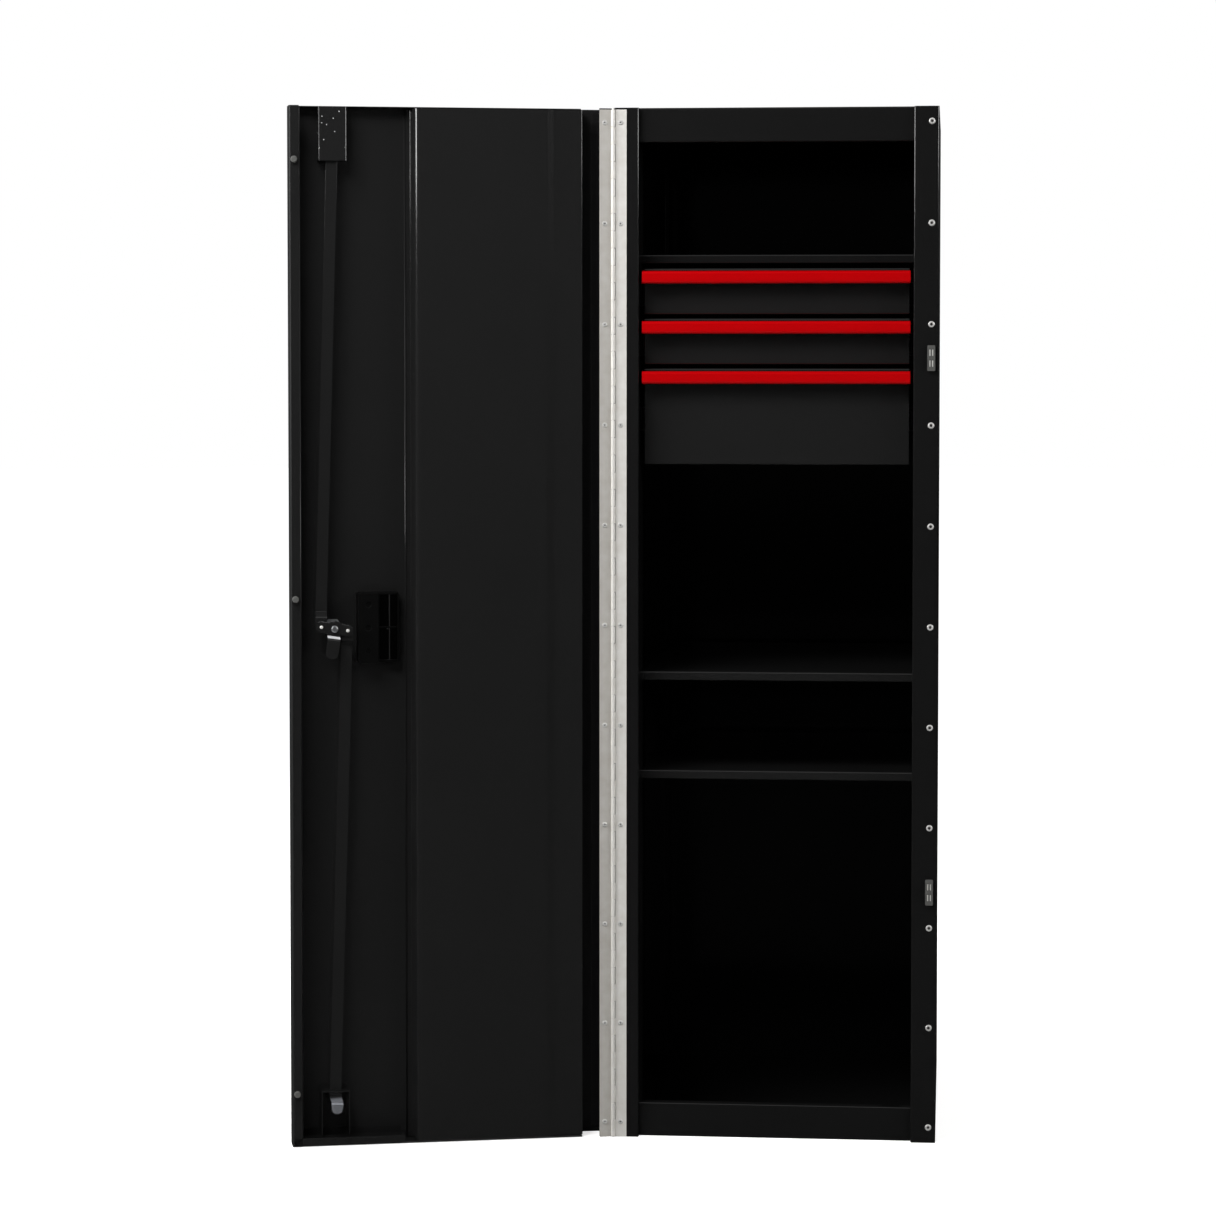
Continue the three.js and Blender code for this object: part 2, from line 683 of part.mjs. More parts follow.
// Flush pull, about its own middle: a dish open to the outside that runs under an overhang into a deep finger
// pocket, and on the inside two ribbed cells beside the pocket's block
function flushPull() {
  const reach = CUP_WIDTH / 2;
  const end = CUP_HEIGHT / 2 - CUP_END_WALL;
  const rear = -SEAT - CUP_BEZEL;
  const bezel = prism(cupOutline(CUP_BEZEL_MARGIN), 'y', doorY(rear), doorY(-SEAT));
  const base = prism(cupOutline(0), 'y', doorY(rear), doorY(CUP_SHALLOW_DEPTH));
  const latchSide = block(
    [CUP_DIVIDE, reach + OVERCUT], depths(0, CUP_DEPTH + OVERCUT), [-CUP_HEIGHT, CUP_HEIGHT],
  );
  const deep = prism(cupOutline(0), 'y', doorY(0), doorY(CUP_DEPTH)).intersect(latchSide);
  const pocketX = [CUP_DIVIDE + CUP_WALL, reach - CUP_WALL];
  const lipEdge = reach - CUP_WALL - CUP_OVERHANG;
  const dish = block([CUP_WALL - reach, lipEdge], depths(rear - OVERCUT, CUP_DISH), [-end, end]);
  const pocket = block(pocketX, depths(CUP_DISH - CUP_WALL, CUP_DEPTH - CUP_WALL), [-end, end]);
  let pull = cut(join(bezel, base, deep), dish, pocket);
  const cellX = [CUP_WALL - reach, -CUP_DIVIDE];
  const cellMiddle = (cellX[0] + cellX[1]) / 2;
  for (const side of [-1, 1]) {
    const cellZ = [CUP_WALL / 2, end].map((z) => side * z).sort((a, b) => a - b);
    const middle = (cellZ[0] + cellZ[1]) / 2;
    const ribX = [cellMiddle - CELL_RIB_WIDTH / 2, cellMiddle + CELL_RIB_WIDTH / 2];
    const ribZ = [middle - CELL_RIB_LENGTH / 2, middle + CELL_RIB_LENGTH / 2];
    const rib = folded(
      [[ribX[1], ribZ[0]], [ribX[0], ribZ[0]], [ribX[0], ribZ[1]], [ribX[1], ribZ[1]]], CELL_RIB,
    );
    pull = join(
      cut(pull, block(cellX, depths(CUP_FLOOR, CUP_SHALLOW_DEPTH + OVERCUT), cellZ)),
      prism(rib, 'y', doorY(CUP_FLOOR - CUP_WALL / 2), doorY(CUP_FLOOR + CELL_RIB_HEIGHT)),
    );
  }
  const dimpleX = (CUP_DIVIDE + reach) / 2;
  const dimples = [-1, 0, 1].map((i) => prism(
    ngon(dimpleX, i * DIMPLE_PITCH, DIMPLE_DIAMETER / 2, SMALL_SIDES),
    'y', doorY(CUP_DEPTH - DIMPLE_DEPTH), doorY(CUP_DEPTH + OVERCUT),
  ));
  return cut(pull, ...dimples);
}

// Rod guides, about the rods' line: the upper one a box with a slotted floor, the lower one a slotted bridge
function guideSlot(z) {
  const play = GUIDE_SLOT_PLAY;
  return block(
    [-GUIDE_SLOT_WIDTH / 2, GUIDE_SLOT_WIDTH / 2],
    depths(rodFront - ROD_SHEET - play, rodFront + play),
    [z - 2 * GUIDE_SHEET, z + 2 * GUIDE_SHEET],
  );
}

function upperGuide() {
  const t = GUIDE_SHEET / 2;
  const low = doorTop - GUIDE_HEIGHT;
  const high = doorTop - SHEET - SEAT;
  const foot = doorY(SHEET + SEAT);
  const front = doorY(guideFront - t);
  const edge = GUIDE_WIDTH / 2 - t;
  const box = prism(
    folded([[-edge, foot], [-edge, front], [edge, front], [edge, foot]], GUIDE_SHEET), 'z', low, high,
  );
  const floor = block([-edge, edge], [foot, front], [low, low + GUIDE_SHEET]);
  return cut(join(box, floor), guideSlot(low));
}

function lowerGuide() {
  const t = GUIDE_SHEET / 2;
  const low = doorBottom + GUIDE_FOOT_GAP;
  const high = lowerGuideTop - t;
  const edge = GUIDE_WIDTH / 2 - t;
  const bridge = prism(
    folded([[-edge, low], [-edge, high], [edge, high], [edge, low]], GUIDE_SHEET),
    'y', doorY(SHEET + SEAT), doorY(guideFront),
  );
  return cut(bridge, guideSlot(high));
}

// Lock pieces, about the lock's axis

function lockBarrel() {
  const bore = PLUG_DIAMETER / 2 + RUNNING;
  const body = BARREL_DIAMETER / 2;
  const rim = BARREL_FLANGE / 2;
  const outside = doorY(-SEAT - BARREL_RIM);
  const shoulder = doorY(-SEAT);
  const end = doorY(camBack - 2 * SEAT);
  return turned([
    [bore, outside],
    [rim, outside],
    [rim, shoulder],
    [body, shoulder],
    [body, end],
    [bore, end],
    [bore, outside],
  ], ROUND_SIDES);
}

function lockNut() {
  const hole = BARREL_DIAMETER / 2 + RUNNING;
  const [from, to] = depths(SHEET + SEAT, SHEET + SEAT + NUT_HEIGHT);
  const hexagon = prism(flats(NUT_ACROSS, 6), 'y', from, to);
  return cut(hexagon, prism(ngon(0, 0, hole, ROUND_SIDES), 'y', from - OVERCUT, to + OVERCUT));
}

function lockPlug() {
  const radius = PLUG_DIAMETER / 2;
  const outside = doorY(-BARREL_RIM);
  const shoulder = doorY(camBack - SEAT);
  const end = doorY(camFront - SEAT);
  const side = PLUG_SQUARE / 2;
  const round = turned([[0, outside], [radius, outside], [radius, shoulder], [0, shoulder]], ROUND_SIDES);
  const square = block([-side, side], [shoulder - SEAT, end], [-side, side]);
  const screwHole = prism(
    ngon(0, 0, SCREW_SHAFT / 2 + RUNNING, SMALL_SIDES), 'y', end - SCREW_LENGTH - RUNNING, end + OVERCUT,
  );
  const keyway = block(
    [-KEYWAY_WIDTH / 2, KEYWAY_WIDTH / 2],
    [outside - OVERCUT, outside + KEYWAY_DEPTH],
    [-KEYWAY_LENGTH / 2, KEYWAY_LENGTH / 2],
  );
  return cut(join(round, square), screwHole, keyway);
}

// The cam: a plate with an ear for each rod and a tongue that is cranked inwards to pass behind the post
function latchCam() {
  const level = doorY(camBack + CAM_SHEET / 2);
  const tongueLevel = doorY(DOOR_DEPTH + closedGap + tongueBehindFace + CAM_SHEET / 2);
  const [from, to] = depths(camBack, camFront);
  const ears = prism(
    rounded([-ROD_THROW - CAM_EAR, ROD_THROW + CAM_EAR], [-CAM_EAR, CAM_EAR], CAM_EAR - SEAT), 'y', from, to,
  );
  const hub = prism(ngon(0, 0, CAM_HUB, ROUND_SIDES), 'y', from, to);
  const plan = prism(
    rounded([-TONGUE_WIDTH / 2, TONGUE_WIDTH / 2], [-TONGUE_LENGTH, CAM_EAR], CAM_EAR),
    'y', from - OVERCUT, tongueLevel + CAM_SHEET,
  );
  const strip = prism(folded([
    [level, CAM_EAR],
    [level, -CRANK_START],
    [tongueLevel, -CRANK_START - CRANK_RUN],
    [tongueLevel, -TONGUE_LENGTH - OVERCUT],
  ], CAM_SHEET, CAM_SHEET), 'x', -TONGUE_WIDTH, TONGUE_WIDTH);
  const square = PLUG_SQUARE / 2 + RUNNING;
  const pinHole = ROD_PIN / 2 + RUNNING;
  const holes = [-1, 1].map((side) => prism(
    ngon(side * ROD_THROW, 0, pinHole, SMALL_SIDES), 'y', from - OVERCUT, to + OVERCUT,
  ));
  const drive = block([-square, square], [from - OVERCUT, to + OVERCUT], [-square, square]);
  return cut(join(ears, hub, plan.intersect(strip)), drive, ...holes);
}

function camScrew() {
  const base = doorY(camFront + SEAT);
  const top = base + SCREW_HEAD_HEIGHT;
  const shaft = SCREW_SHAFT / 2;
  const head = SCREW_HEAD / 2;
  return turned([
    [0, base - SCREW_LENGTH],
    [shaft, base - SCREW_LENGTH],
    [shaft, base],
    [head, base],
    [head, top - SCREW_HEAD_HEIGHT / 2],
    [head / 2, top],
    [0, top],
  ], ROUND_SIDES);
}

// A rivet through the cam's ear and the rod's tab
function rodPin() {
  const headBase = doorY(camFront + SEAT);
  const tailTop = doorY(tabFront - ROD_SHEET - SEAT);
  const shaft = ROD_PIN / 2;
  return turned([
    [0, tailTop - ROD_PIN_RIM],
    [ROD_PIN_TAIL / 2, tailTop - ROD_PIN_RIM],
    [ROD_PIN_TAIL / 2, tailTop],
    [shaft, tailTop],
    [shaft, headBase],
    [ROD_PIN_HEAD / 2, headBase],
    [ROD_PIN_HEAD / 4, headBase + ROD_PIN_RIM],
    [0, headBase + ROD_PIN_RIM],
  ], SMALL_SIDES);
}

// A rod, up from its pin: a flat bar with a joggle, so that its tab reaches the cam and the bar its guide.
// Further bends take its end to other depths, each given as its front's depth and a height along the rod.
function rod(length, bends = []) {
  const middle = (front) => doorY(front - ROD_SHEET / 2);
  const levels = [[tabFront, ROD_JOGGLE_START], [rodFront, ROD_JOGGLE_START + ROD_JOGGLE_RUN], ...bends];
  const corners = levels.map(([front, height]) => [middle(front), height]);
  const first = corners[0][0];
  const last = corners[corners.length - 1][0];
  const radius = ROD_WIDTH / 2;
  const strip = prism(
    folded([[first, -ROD_WIDTH], ...corners, [last, length + ROD_WIDTH]], ROD_SHEET, ROD_SHEET),
    'x', -ROD_WIDTH, ROD_WIDTH,
  );
  const plan = prism(
    rounded([-radius, radius], [-radius, length], radius - SEAT),
    'y', middle(rodFront) - ROD_SHEET, Math.max(first, last) + ROD_SHEET,
  );
  const hole = prism(
    ngon(0, 0, ROD_PIN / 2 + RUNNING, SMALL_SIDES), 'y', first - ROD_SHEET, first + ROD_SHEET,
  );
  return cut(plan.intersect(strip), hole);
}

// The rods hang on the cam's pins and lean towards the middle of their guides. The lower one's tip is cranked
// inwards to drop behind the sill.
function addRods(door, tilt) {
  const across = ROD_THROW * Math.cos(tilt);
  const rise = ROD_THROW * Math.sin(tilt);
  const upperZ = lockZ + rise;
  const lowerZ = lockZ - rise;
  const upper = piece(door, 'upper_rod', rod(doorTop - ROD_END_GAP - upperZ), BLACK_COAT);
  upper.position.set(lockU + across, 0, upperZ);
  upper.rotation.y = -Math.atan2(across, doorTop - GUIDE_HEIGHT / 2 - upperZ);
  const tipFront = DOOR_DEPTH + closedGap + tipBehindFace + ROD_SHEET;
  const crank = lowerZ - (lowerGuideTop - GUIDE_SHEET - TIP_DROP);
  const bends = [[rodFront, crank], [tipFront, crank + TIP_RUN]];
  const lower = piece(door, 'lower_rod', rod(lowerZ - tipEndZ, bends), BLACK_COAT);
  lower.position.set(lockU - across, 0, lowerZ);
  lower.rotation.y = Math.PI - Math.atan2(across, lowerZ - lowerGuideTop);
}

function buildLatch(tilt) {
  const latch = new THREE.Group();
  latch.position.set(lockU, 0, lockZ);
  latch.rotation.y = -tilt;
  piece(latch, 'lock_plug', lockPlug(), CHROME);
  piece(latch, 'latch_cam', latchCam(), BLACK_COAT);
  piece(latch, 'cam_screw', camScrew(), ZINC);
  piece(latch, 'upper_rod_pin', rodPin(), ZINC).position.x = ROD_THROW;
  piece(latch, 'lower_rod_pin', rodPin(), ZINC).position.x = -ROD_THROW;
  return latch;
}

function buildDoor() {
  const door = new THREE.Group();
  door.position.set(pinX, pinY, 0);
  door.rotation.z = -THREE.MathUtils.degToRad(DOOR_OPEN);
  const cupU = latchU - PULL_CUP_BACKSET;
  const bumperU = latchU - BUMPER_INSET;
  const bumperHeights = {
    upper: doorTop - BUMPER_END_GAP,
    middle: lockZ + BUMPER_ABOVE_LOCK,
    lower: doorBottom + BUMPER_END_GAP,
  };
  const skinDepth = depths(-OVERCUT, SHEET + OVERCUT);
  const flangeDepth = depths(DOOR_DEPTH - SHEET - OVERCUT, DOOR_DEPTH + OVERCUT);
  const cupHole = cupOutline(SEAT).map(([x, z]) => [x + cupU, z + lockZ]);
  const lockHole = ngon(lockU, lockZ, BARREL_DIAMETER / 2 + RUNNING, ROUND_SIDES);
  const stemHoles = Object.values(bumperHeights).map(
    (z) => prism(ngon(bumperU, z, BUMPER_STEM / 2 + RUNNING, SMALL_SIDES), 'y', ...flangeDepth),
  );
  const cutters = [prism(cupHole, 'y', ...skinDepth), prism(lockHole, 'y', ...skinDepth), ...stemHoles];
  piece(door, 'door_pan', doorPan(cutters), BLACK_COAT);
  piece(door, 'door_inner_panel', innerPanel(), BLACK_COAT);
  const leaf = piece(door, 'hinge_door_leaf', hingeLeaf(), STAINLESS);
  leaf.rotation.x = Math.PI;
  leaf.position.z = CABINET_HEIGHT;
  piece(door, 'upper_rod_guide', upperGuide(), BLACK_COAT).position.x = lockU;
  piece(door, 'lower_rod_guide', lowerGuide(), BLACK_COAT).position.x = lockU;
  piece(door, 'flush_pull_housing', flushPull(), BLACK_PLASTIC).position.set(cupU, 0, lockZ);
  piece(door, 'lock_barrel', lockBarrel(), CHROME).position.set(lockU, 0, lockZ);
  piece(door, 'lock_nut', lockNut(), ZINC).position.set(lockU, 0, lockZ);
  for (const [place, z] of Object.entries(bumperHeights)) {
    piece(door, `${place}_bumper`, bumper(), GREY_RUBBER).position.set(bumperU, 0, z);
  }
  const tilt = THREE.MathUtils.degToRad(CAM_REST);
  door.add(buildLatch(tilt));
  addRods(door, tilt);
  return door;
}

const locker = new THREE.Group();
locker.add(buildCabinet(), buildDrawers(), buildDoor());

export default locker;
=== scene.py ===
"""The looks of a steel side locker for a tool chest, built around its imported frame, in metres."""
import json
import logging
import math
from dataclasses import dataclass
from enum import Enum, IntEnum
from typing import Any, Sequence

import bmesh
import bpy
from bmesh.types import BMEdge, BMesh, BMVert
from bpy.types import Material, NodeSocket, NodeTree, Object
from mathutils import Matrix, Vector


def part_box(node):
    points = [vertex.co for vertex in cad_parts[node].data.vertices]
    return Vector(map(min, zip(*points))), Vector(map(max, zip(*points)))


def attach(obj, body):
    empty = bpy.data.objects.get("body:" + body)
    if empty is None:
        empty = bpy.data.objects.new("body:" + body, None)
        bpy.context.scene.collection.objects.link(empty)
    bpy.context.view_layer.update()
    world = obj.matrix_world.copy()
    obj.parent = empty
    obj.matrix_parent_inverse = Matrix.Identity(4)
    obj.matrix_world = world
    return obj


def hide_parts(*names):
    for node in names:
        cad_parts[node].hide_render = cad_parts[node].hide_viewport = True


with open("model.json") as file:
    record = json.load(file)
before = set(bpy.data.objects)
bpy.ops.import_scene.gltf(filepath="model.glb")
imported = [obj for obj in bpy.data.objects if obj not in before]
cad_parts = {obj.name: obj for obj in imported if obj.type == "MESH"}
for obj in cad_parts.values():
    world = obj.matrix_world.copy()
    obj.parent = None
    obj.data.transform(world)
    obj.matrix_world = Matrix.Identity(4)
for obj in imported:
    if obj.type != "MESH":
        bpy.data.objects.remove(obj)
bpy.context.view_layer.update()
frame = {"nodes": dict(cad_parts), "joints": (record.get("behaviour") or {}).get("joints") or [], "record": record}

MM = 0.001
IMAGE_SIZE = 1216
# Vertices this close are one, and places this close are the same place.
MERGE_MM = 0.002
HAIR_MM = 0.05
EDGE_SEGMENTS = 2
BEND_SEGMENTS = 8
# The usual lowest and highest values of a noise texture, and how many finer layers it has.
NOISE_LOW, NOISE_HIGH = 0.3, 0.7
DRIFT_DETAIL, GRAIN_DETAIL = 3.0, 2.0

log = logging.getLogger("locker")


def linear(hex_colour: str) -> tuple[float, float, float, float]:
    """Turns an sRGB hex value into a linear colour.

    Args:
        hex_colour: Six hex digits.

    Returns:
        The linear red, green and blue, and an alpha of 1.
    """
    channels = [int(hex_colour[i:i + 2], 16) / 255 for i in (0, 2, 4)]
    return (*(c / 12.92 if c <= 0.04045 else ((c + 0.055) / 1.055) ** 2.4 for c in channels), 1.0)


def add_node(tree: NodeTree, kind: str, inputs: dict[Any, Any] | None = None,
             **settings: Any) -> Any:
    """Adds a node with its settings, values and links.

    Args:
        tree: The node tree that the node goes into.
        kind: The node's type name, without its ShaderNode prefix.
        inputs: What each input, by name or number, is set to or linked from.
        settings: The node's own properties.

    Returns:
        The new node.
    """
    node = tree.nodes.new("ShaderNode" + kind)
    for name, value in settings.items():
        setattr(node, name, value)
    for name, value in (inputs or {}).items():
        if isinstance(value, NodeSocket):
            tree.links.new(value, node.inputs[name])
        else:
            node.inputs[name].default_value = value
    return node


class Mix(IntEnum):
    """Socket numbers of a Mix node that mixes colours."""

    FACTOR = 0
    FIRST = 6
    SECOND = 7
    RESULT = 2


# Sockets of a Map Range node, in the order that a range is given in below.
RANGE = ("From Min", "From Max", "To Min", "To Max")


@dataclass(frozen=True)
class Finish:
    """A surface finish, whose colour drifts in patches and whose grain stands in relief."""

    name: str
    colour: str
    drift_colour: str
    drift_mm: float
    roughness: float
    grain_mm: tuple[float, float, float]
    grain_height_mm: float
    roughness_spread: float = 0.08
    metallic: float = 0.0
    specular: float = 0.5
    beneath: str = ""
    beneath_metallic: float = 0.0
    beneath_roughness: float | None = None

    def material(self) -> Material:
        """Returns the finish's material, made the first time that it is asked for."""
        found = bpy.data.materials.get(self.name)
        return found or self._build()

    def _build(self) -> Material:
        """Builds the material's nodes.

        Returns:
            The new material.
        """
        material = bpy.data.materials.new(self.name)
        material.use_nodes = True
        tree = material.node_tree
        tree.nodes.clear()
        place = add_node(tree, "TexCoord").outputs["Object"]
        drift = add_node(tree, "TexNoise", {
            "Vector": place, "Scale": 1 / (self.drift_mm * MM), "Detail": DRIFT_DETAIL,
        })
        stretch = tuple(1 / (size * MM) for size in self.grain_mm)
        grid = add_node(tree, "Mapping", {"Vector": place, "Scale": stretch})
        grain = add_node(tree, "TexNoise", {
            "Vector": grid.outputs[0], "Scale": 1.0, "Detail": GRAIN_DETAIL,
        })
        colour = add_node(tree, "Mix", {
            Mix.FACTOR: drift.outputs[0],
            Mix.FIRST: linear(self.colour),
            Mix.SECOND: linear(self.drift_colour),
        }, data_type="RGBA")
        gloss = add_node(tree, "MapRange", {
            "Value": grain.outputs[0],
            "From Min": NOISE_LOW,
            "From Max": NOISE_HIGH,
            "To Min": self.roughness - self.roughness_spread,
            "To Max": self.roughness + self.roughness_spread,
        })
        relief = add_node(tree, "Bump", {
            "Height": grain.outputs[0],
            "Distance": self.grain_height_mm * MM,
        })
        mask = self.mask(tree, place)
        metallic: Any = self.metallic
        if mask:
            colour = add_node(tree, "Mix", {
                Mix.FACTOR: mask,
                Mix.FIRST: colour.outputs[Mix.RESULT],
                Mix.SECOND: linear(self.beneath),
            }, data_type="RGBA")
        if mask and self.beneath_metallic != self.metallic:
            change = add_node(tree, "MapRange", {
                "Value": mask, "To Min": self.metallic, "To Max": self.beneath_metallic,
            })
            metallic = change.outputs[0]
        if mask and self.beneath_roughness:
            gloss = add_node(tree, "MapRange", {
                "Value": mask, "To Min": gloss.outputs[0], "To Max": self.beneath_roughness,
            })
        shader = add_node(tree, "BsdfPrincipled", {
            "Base Color": colour.outputs[Mix.RESULT],
            "Metallic": metallic,
            "Roughness": gloss.outputs[0],
            "Specular IOR Level": self.specular,
            "Normal": relief.outputs[0],
        })
        add_node(tree, "OutputMaterial", {"Surface": shader.outputs[0]})
        return material

    def mask(self, tree: NodeTree, place: NodeSocket) -> NodeSocket | None:
        """Returns the mask of where something else shows, if it does anywhere."""
        return None

    def dress(self, piece: Object) -> None:
        """Gives a piece this finish all over."""
        piece.data.materials.clear()
        piece.data.materials.append(self.material())


@dataclass(frozen=True)
class ChippedFinish(Finish):
    """A coat with specks knocked out of it, down to the pale primer."""

    beneath: str = "c4c5c6"
    chip_pitch_mm: float = 9
    chip_share: float = 0.085

    def mask(self, tree: NodeTree, place: NodeSocket) -> NodeSocket:
        """Masks the specks.

        Args:
            tree: The material's nodes.
            place: Where on the object a point is.

        Returns:
            The mask.
        """
        cells = add_node(tree, "TexVoronoi", {
            "Vector": place, "Scale": 1 / (self.chip_pitch_mm * MM),
        })
        speck = {0: cells.outputs["Distance"], 1: self.chip_share}
        return add_node(tree, "Math", speck, operation="LESS_THAN").outputs[0]


@dataclass(frozen=True)
class WornFinish(Finish):
    """A coat rubbed off below a height, down to bare steel."""

    beneath: str = "a3a6ad"
    beneath_metallic: float = 0.75
    worn_mm: float = 73
    fade_mm: float = 3

    def mask(self, tree: NodeTree, place: NodeSocket) -> NodeSocket:
        """Masks the worn end.

        Args:
            tree: The material's nodes.
            place: Where on the object a point is.

        Returns:
            The mask.
        """
        height = add_node(tree, "SeparateXYZ", {0: place}).outputs[2]
        fade = ((self.worn_mm - self.fade_mm) * MM, self.worn_mm * MM, 1.0, 0.0)
        return add_node(tree, "MapRange", {"Value": height, **dict(zip(RANGE, fade))}).outputs[0]


@dataclass(frozen=True)
class UpwardWearAndHighlightFinish(Finish):
    """A coat that changes where it looks up: scuffed dull on the top panel, a painted highlight of the light from
    above on the cam.
    """

    # By default the cam's painted highlight: pale and partly metallic.
    beneath: str = "d9dadc"
    beneath_metallic: float = 0.2
    slope: tuple[float, float] = (0.8, 0.95)

    def mask(self, tree: NodeTree, place: NodeSocket) -> NodeSocket:
        """Masks what looks up on the piece itself.

        Args:
            tree: The material's nodes.
            place: Where on the object a point is.

        Returns:
            The mask.
        """
        normal = add_node(tree, "TexCoord").outputs["Normal"]
        upward = add_node(tree, "SeparateXYZ", {0: normal}).outputs[2]
        slope = dict(zip(RANGE, self.slope))
        return add_node(tree, "MapRange", {"Value": upward, **slope}).outputs[0]


class Side(Enum):
    """Which side of a distance from the hinge's pin is masked."""

    INSIDE = "LESS_THAN"
    OUTSIDE = "GREATER_THAN"


@dataclass(frozen=True)
class HingedFinish(Finish):
    """A finish that changes at a distance from the hinge's pin."""

    reach_mm: float = 0.0
    side: Side = Side.INSIDE

    def mask(self, tree: NodeTree, place: NodeSocket) -> NodeSocket:
        """Masks what lies on that side of the distance.

        Args:
            tree: The material's nodes.
            place: Where on the object a point is.

        Returns:
            The mask.
        """
        x, y = joint("door_hinge")["pos_m"][:2]
        level = {0: place, 1: (1, 1, 0), 2: (-x, -y, 0)}
        spoke = add_node(tree, "VectorMath", level, operation="MULTIPLY_ADD").outputs[0]
        apart = add_node(tree, "VectorMath", {0: spoke}, operation="LENGTH").outputs["Value"]
        reach = {0: apart, 1: self.reach_mm * MM}
        return add_node(tree, "Math", reach, operation=self.side.value).outputs[0]


# Sprayed and baked on: a deep black with the faint ripple of orange peel in its gloss.
COAT_RIPPLE = dict(
    drift_mm=90, roughness=0.12, roughness_spread=0.03, grain_mm=(2.4, 2.4, 2.4),
    grain_height_mm=0.006,
)
CABINET_LOOK = dict(colour="131313", drift_colour="111111", **COAT_RIPPLE)
# The lighter tone of the same coat: painted light for the parts that get more light than the cabinet.
LIT_BLACK_LOOK = dict(colour="191919", drift_colour="171717", **COAT_RIPPLE)
BLACK_COAT = Finish(name="gloss_black_powder_coat", **CABINET_LOOK)
# The same on the top, where things are set down: scuffed dull wherever it looks up.
SCUFFED_COAT = UpwardWearAndHighlightFinish(
    name="scuffed_black_powder_coat", **CABINET_LOOK, beneath="181818", beneath_metallic=0.0,
    beneath_roughness=0.62,
)
# The same a shade lighter, as painted light: on the door, the drawers and the two lower shelves, which more light
# falls on than on the cabinet.
LIT_BLACK_COAT = Finish(name="gloss_black_lit_powder_coat", **LIT_BLACK_LOOK)
# The same on the flange's rolled edge, where it drew thin in the oven: satin.
SATIN_COAT = Finish(name="satin_black_powder_coat", **{**LIT_BLACK_LOOK, "roughness": 0.3})
# The same with the door's outer edge handled dull, and painted a shade darker there as painted shade along the
# edge.
DULLED_AND_SHADED_COAT = HingedFinish(
    name="edge_worn_and_shaded_black_powder_coat", **LIT_BLACK_LOOK, beneath="141414", beneath_roughness=0.6,
    reach_mm=477.7, side=Side.OUTSIDE,
)
# The same on the cam, with a painted highlight on the bends and edges that look up, where light from above falls
# on them.
HIGHLIGHTED_CAM_COAT = UpwardWearAndHighlightFinish(name="highlighted_black_powder_coat", **LIT_BLACK_LOOK)
# The same where the rod's box was knocked: specks of pale primer.
CHIPPED_COAT = ChippedFinish(name="chipped_black_powder_coat", **LIT_BLACK_LOOK)
# The same on the end that rubs through the sill: bare, bluish steel.
WORN_COAT = WornFinish(name="worn_black_powder_coat", **LIT_BLACK_LOOK)
# The same coat in red, even and saturated.
RED_COAT = Finish(
    name="gloss_red_powder_coat", colour="9c0003", drift_colour="940003", drift_mm=60,
    roughness=0.3, roughness_spread=0.04,
    grain_mm=(2.2, 2.2, 2.2), grain_height_mm=0.006, specular=0.08,
)
# Cold-rolled strip, not polished: pale and warm, its rolling lines run along the hinge.
STRIP_LOOK = dict(
    drift_mm=16, roughness=0.58, grain_mm=(0.7, 0.7, 60),
    grain_height_mm=0.006, metallic=0.55,
)
STAINLESS = Finish(
    name="rolled_stainless_steel", colour="f4f3f0", drift_colour="dbd7d0", **STRIP_LOOK,
)
# The same on the door's leaf, painted a darker, warmer grey as painted shade, since less light falls on it; its
# knuckles keep the other leaf's brighter tone.
SHADED_STRIP = HingedFinish(
    name="shaded_stainless_steel", colour="d2d0cc", drift_colour="b9b4ac", **STRIP_LOOK,
    beneath="ebe9e4", beneath_metallic=0.55, reach_mm=2.95,
)
# Electroplated and passivated: a bluish grey that drifts to yellow.
ZINC_PLATE = Finish(
    name="zinc_plated_steel", colour="bfc2c6", drift_colour="b3ae9c", drift_mm=7,
    roughness=0.34, roughness_spread=0.06,
    grain_mm=(0.9, 0.9, 0.9), grain_height_mm=0.004, metallic=1.0,
)
# Plated over polished brass: bright, with faint buffing haze.
CHROME = Finish(
    name="chromed_brass", colour="e2e3e4", drift_colour="d6d7da", drift_mm=5,
    roughness=0.12, roughness_spread=0.04,
    grain_mm=(0.5, 0.5, 6), grain_height_mm=0.001, metallic=1.0,
)
# Injection moulded in a spark-eroded tool: black with a fine satin grain.
BLACK_PLASTIC = Finish(
    name="moulded_black_nylon", colour="040404", drift_colour="060606", drift_mm=18,
    roughness=0.4, grain_mm=(0.8, 0.8, 0.8), grain_height_mm=0.015, specular=0.2,
)
# The same inside its pocket, where the tool was left rough: no sheen at all, and painted near-black as the
# pocket's shade.
SHADED_PLASTIC = Finish(
    name="shaded_rough_black_nylon", colour="010101", drift_colour="020202", drift_mm=18,
    roughness=0.8, grain_mm=(0.8, 0.8, 0.8), grain_height_mm=0.02, specular=0.03,
)
# The same on the ribs, painted greyer as a painted highlight where light catches them in the dark pocket.
HIGHLIGHTED_RIB_PLASTIC = Finish(
    name="highlighted_rib_black_nylon", colour="202020", drift_colour="181818", drift_mm=6,
    roughness=0.35, grain_mm=(0.8, 0.8, 0.8), grain_height_mm=0.01, specular=0.4,
)
# The same, unpigmented apart from a little black, so it looks mid grey and waxy.
GREY_PLASTIC = Finish(
    name="moulded_grey_nylon", colour="4e4e4c", drift_colour="444442", drift_mm=6,
    roughness=0.46, grain_mm=(0.7, 0.7, 0.7), grain_height_mm=0.02,
)
# Moulded and unpolished: matt grey.
GREY_RUBBER = Finish(
    name="moulded_grey_rubber", colour="4f4f4d", drift_colour="444442", drift_mm=4,
    roughness=0.72, grain_mm=(0.6, 0.6, 0.6), grain_height_mm=0.03,
)
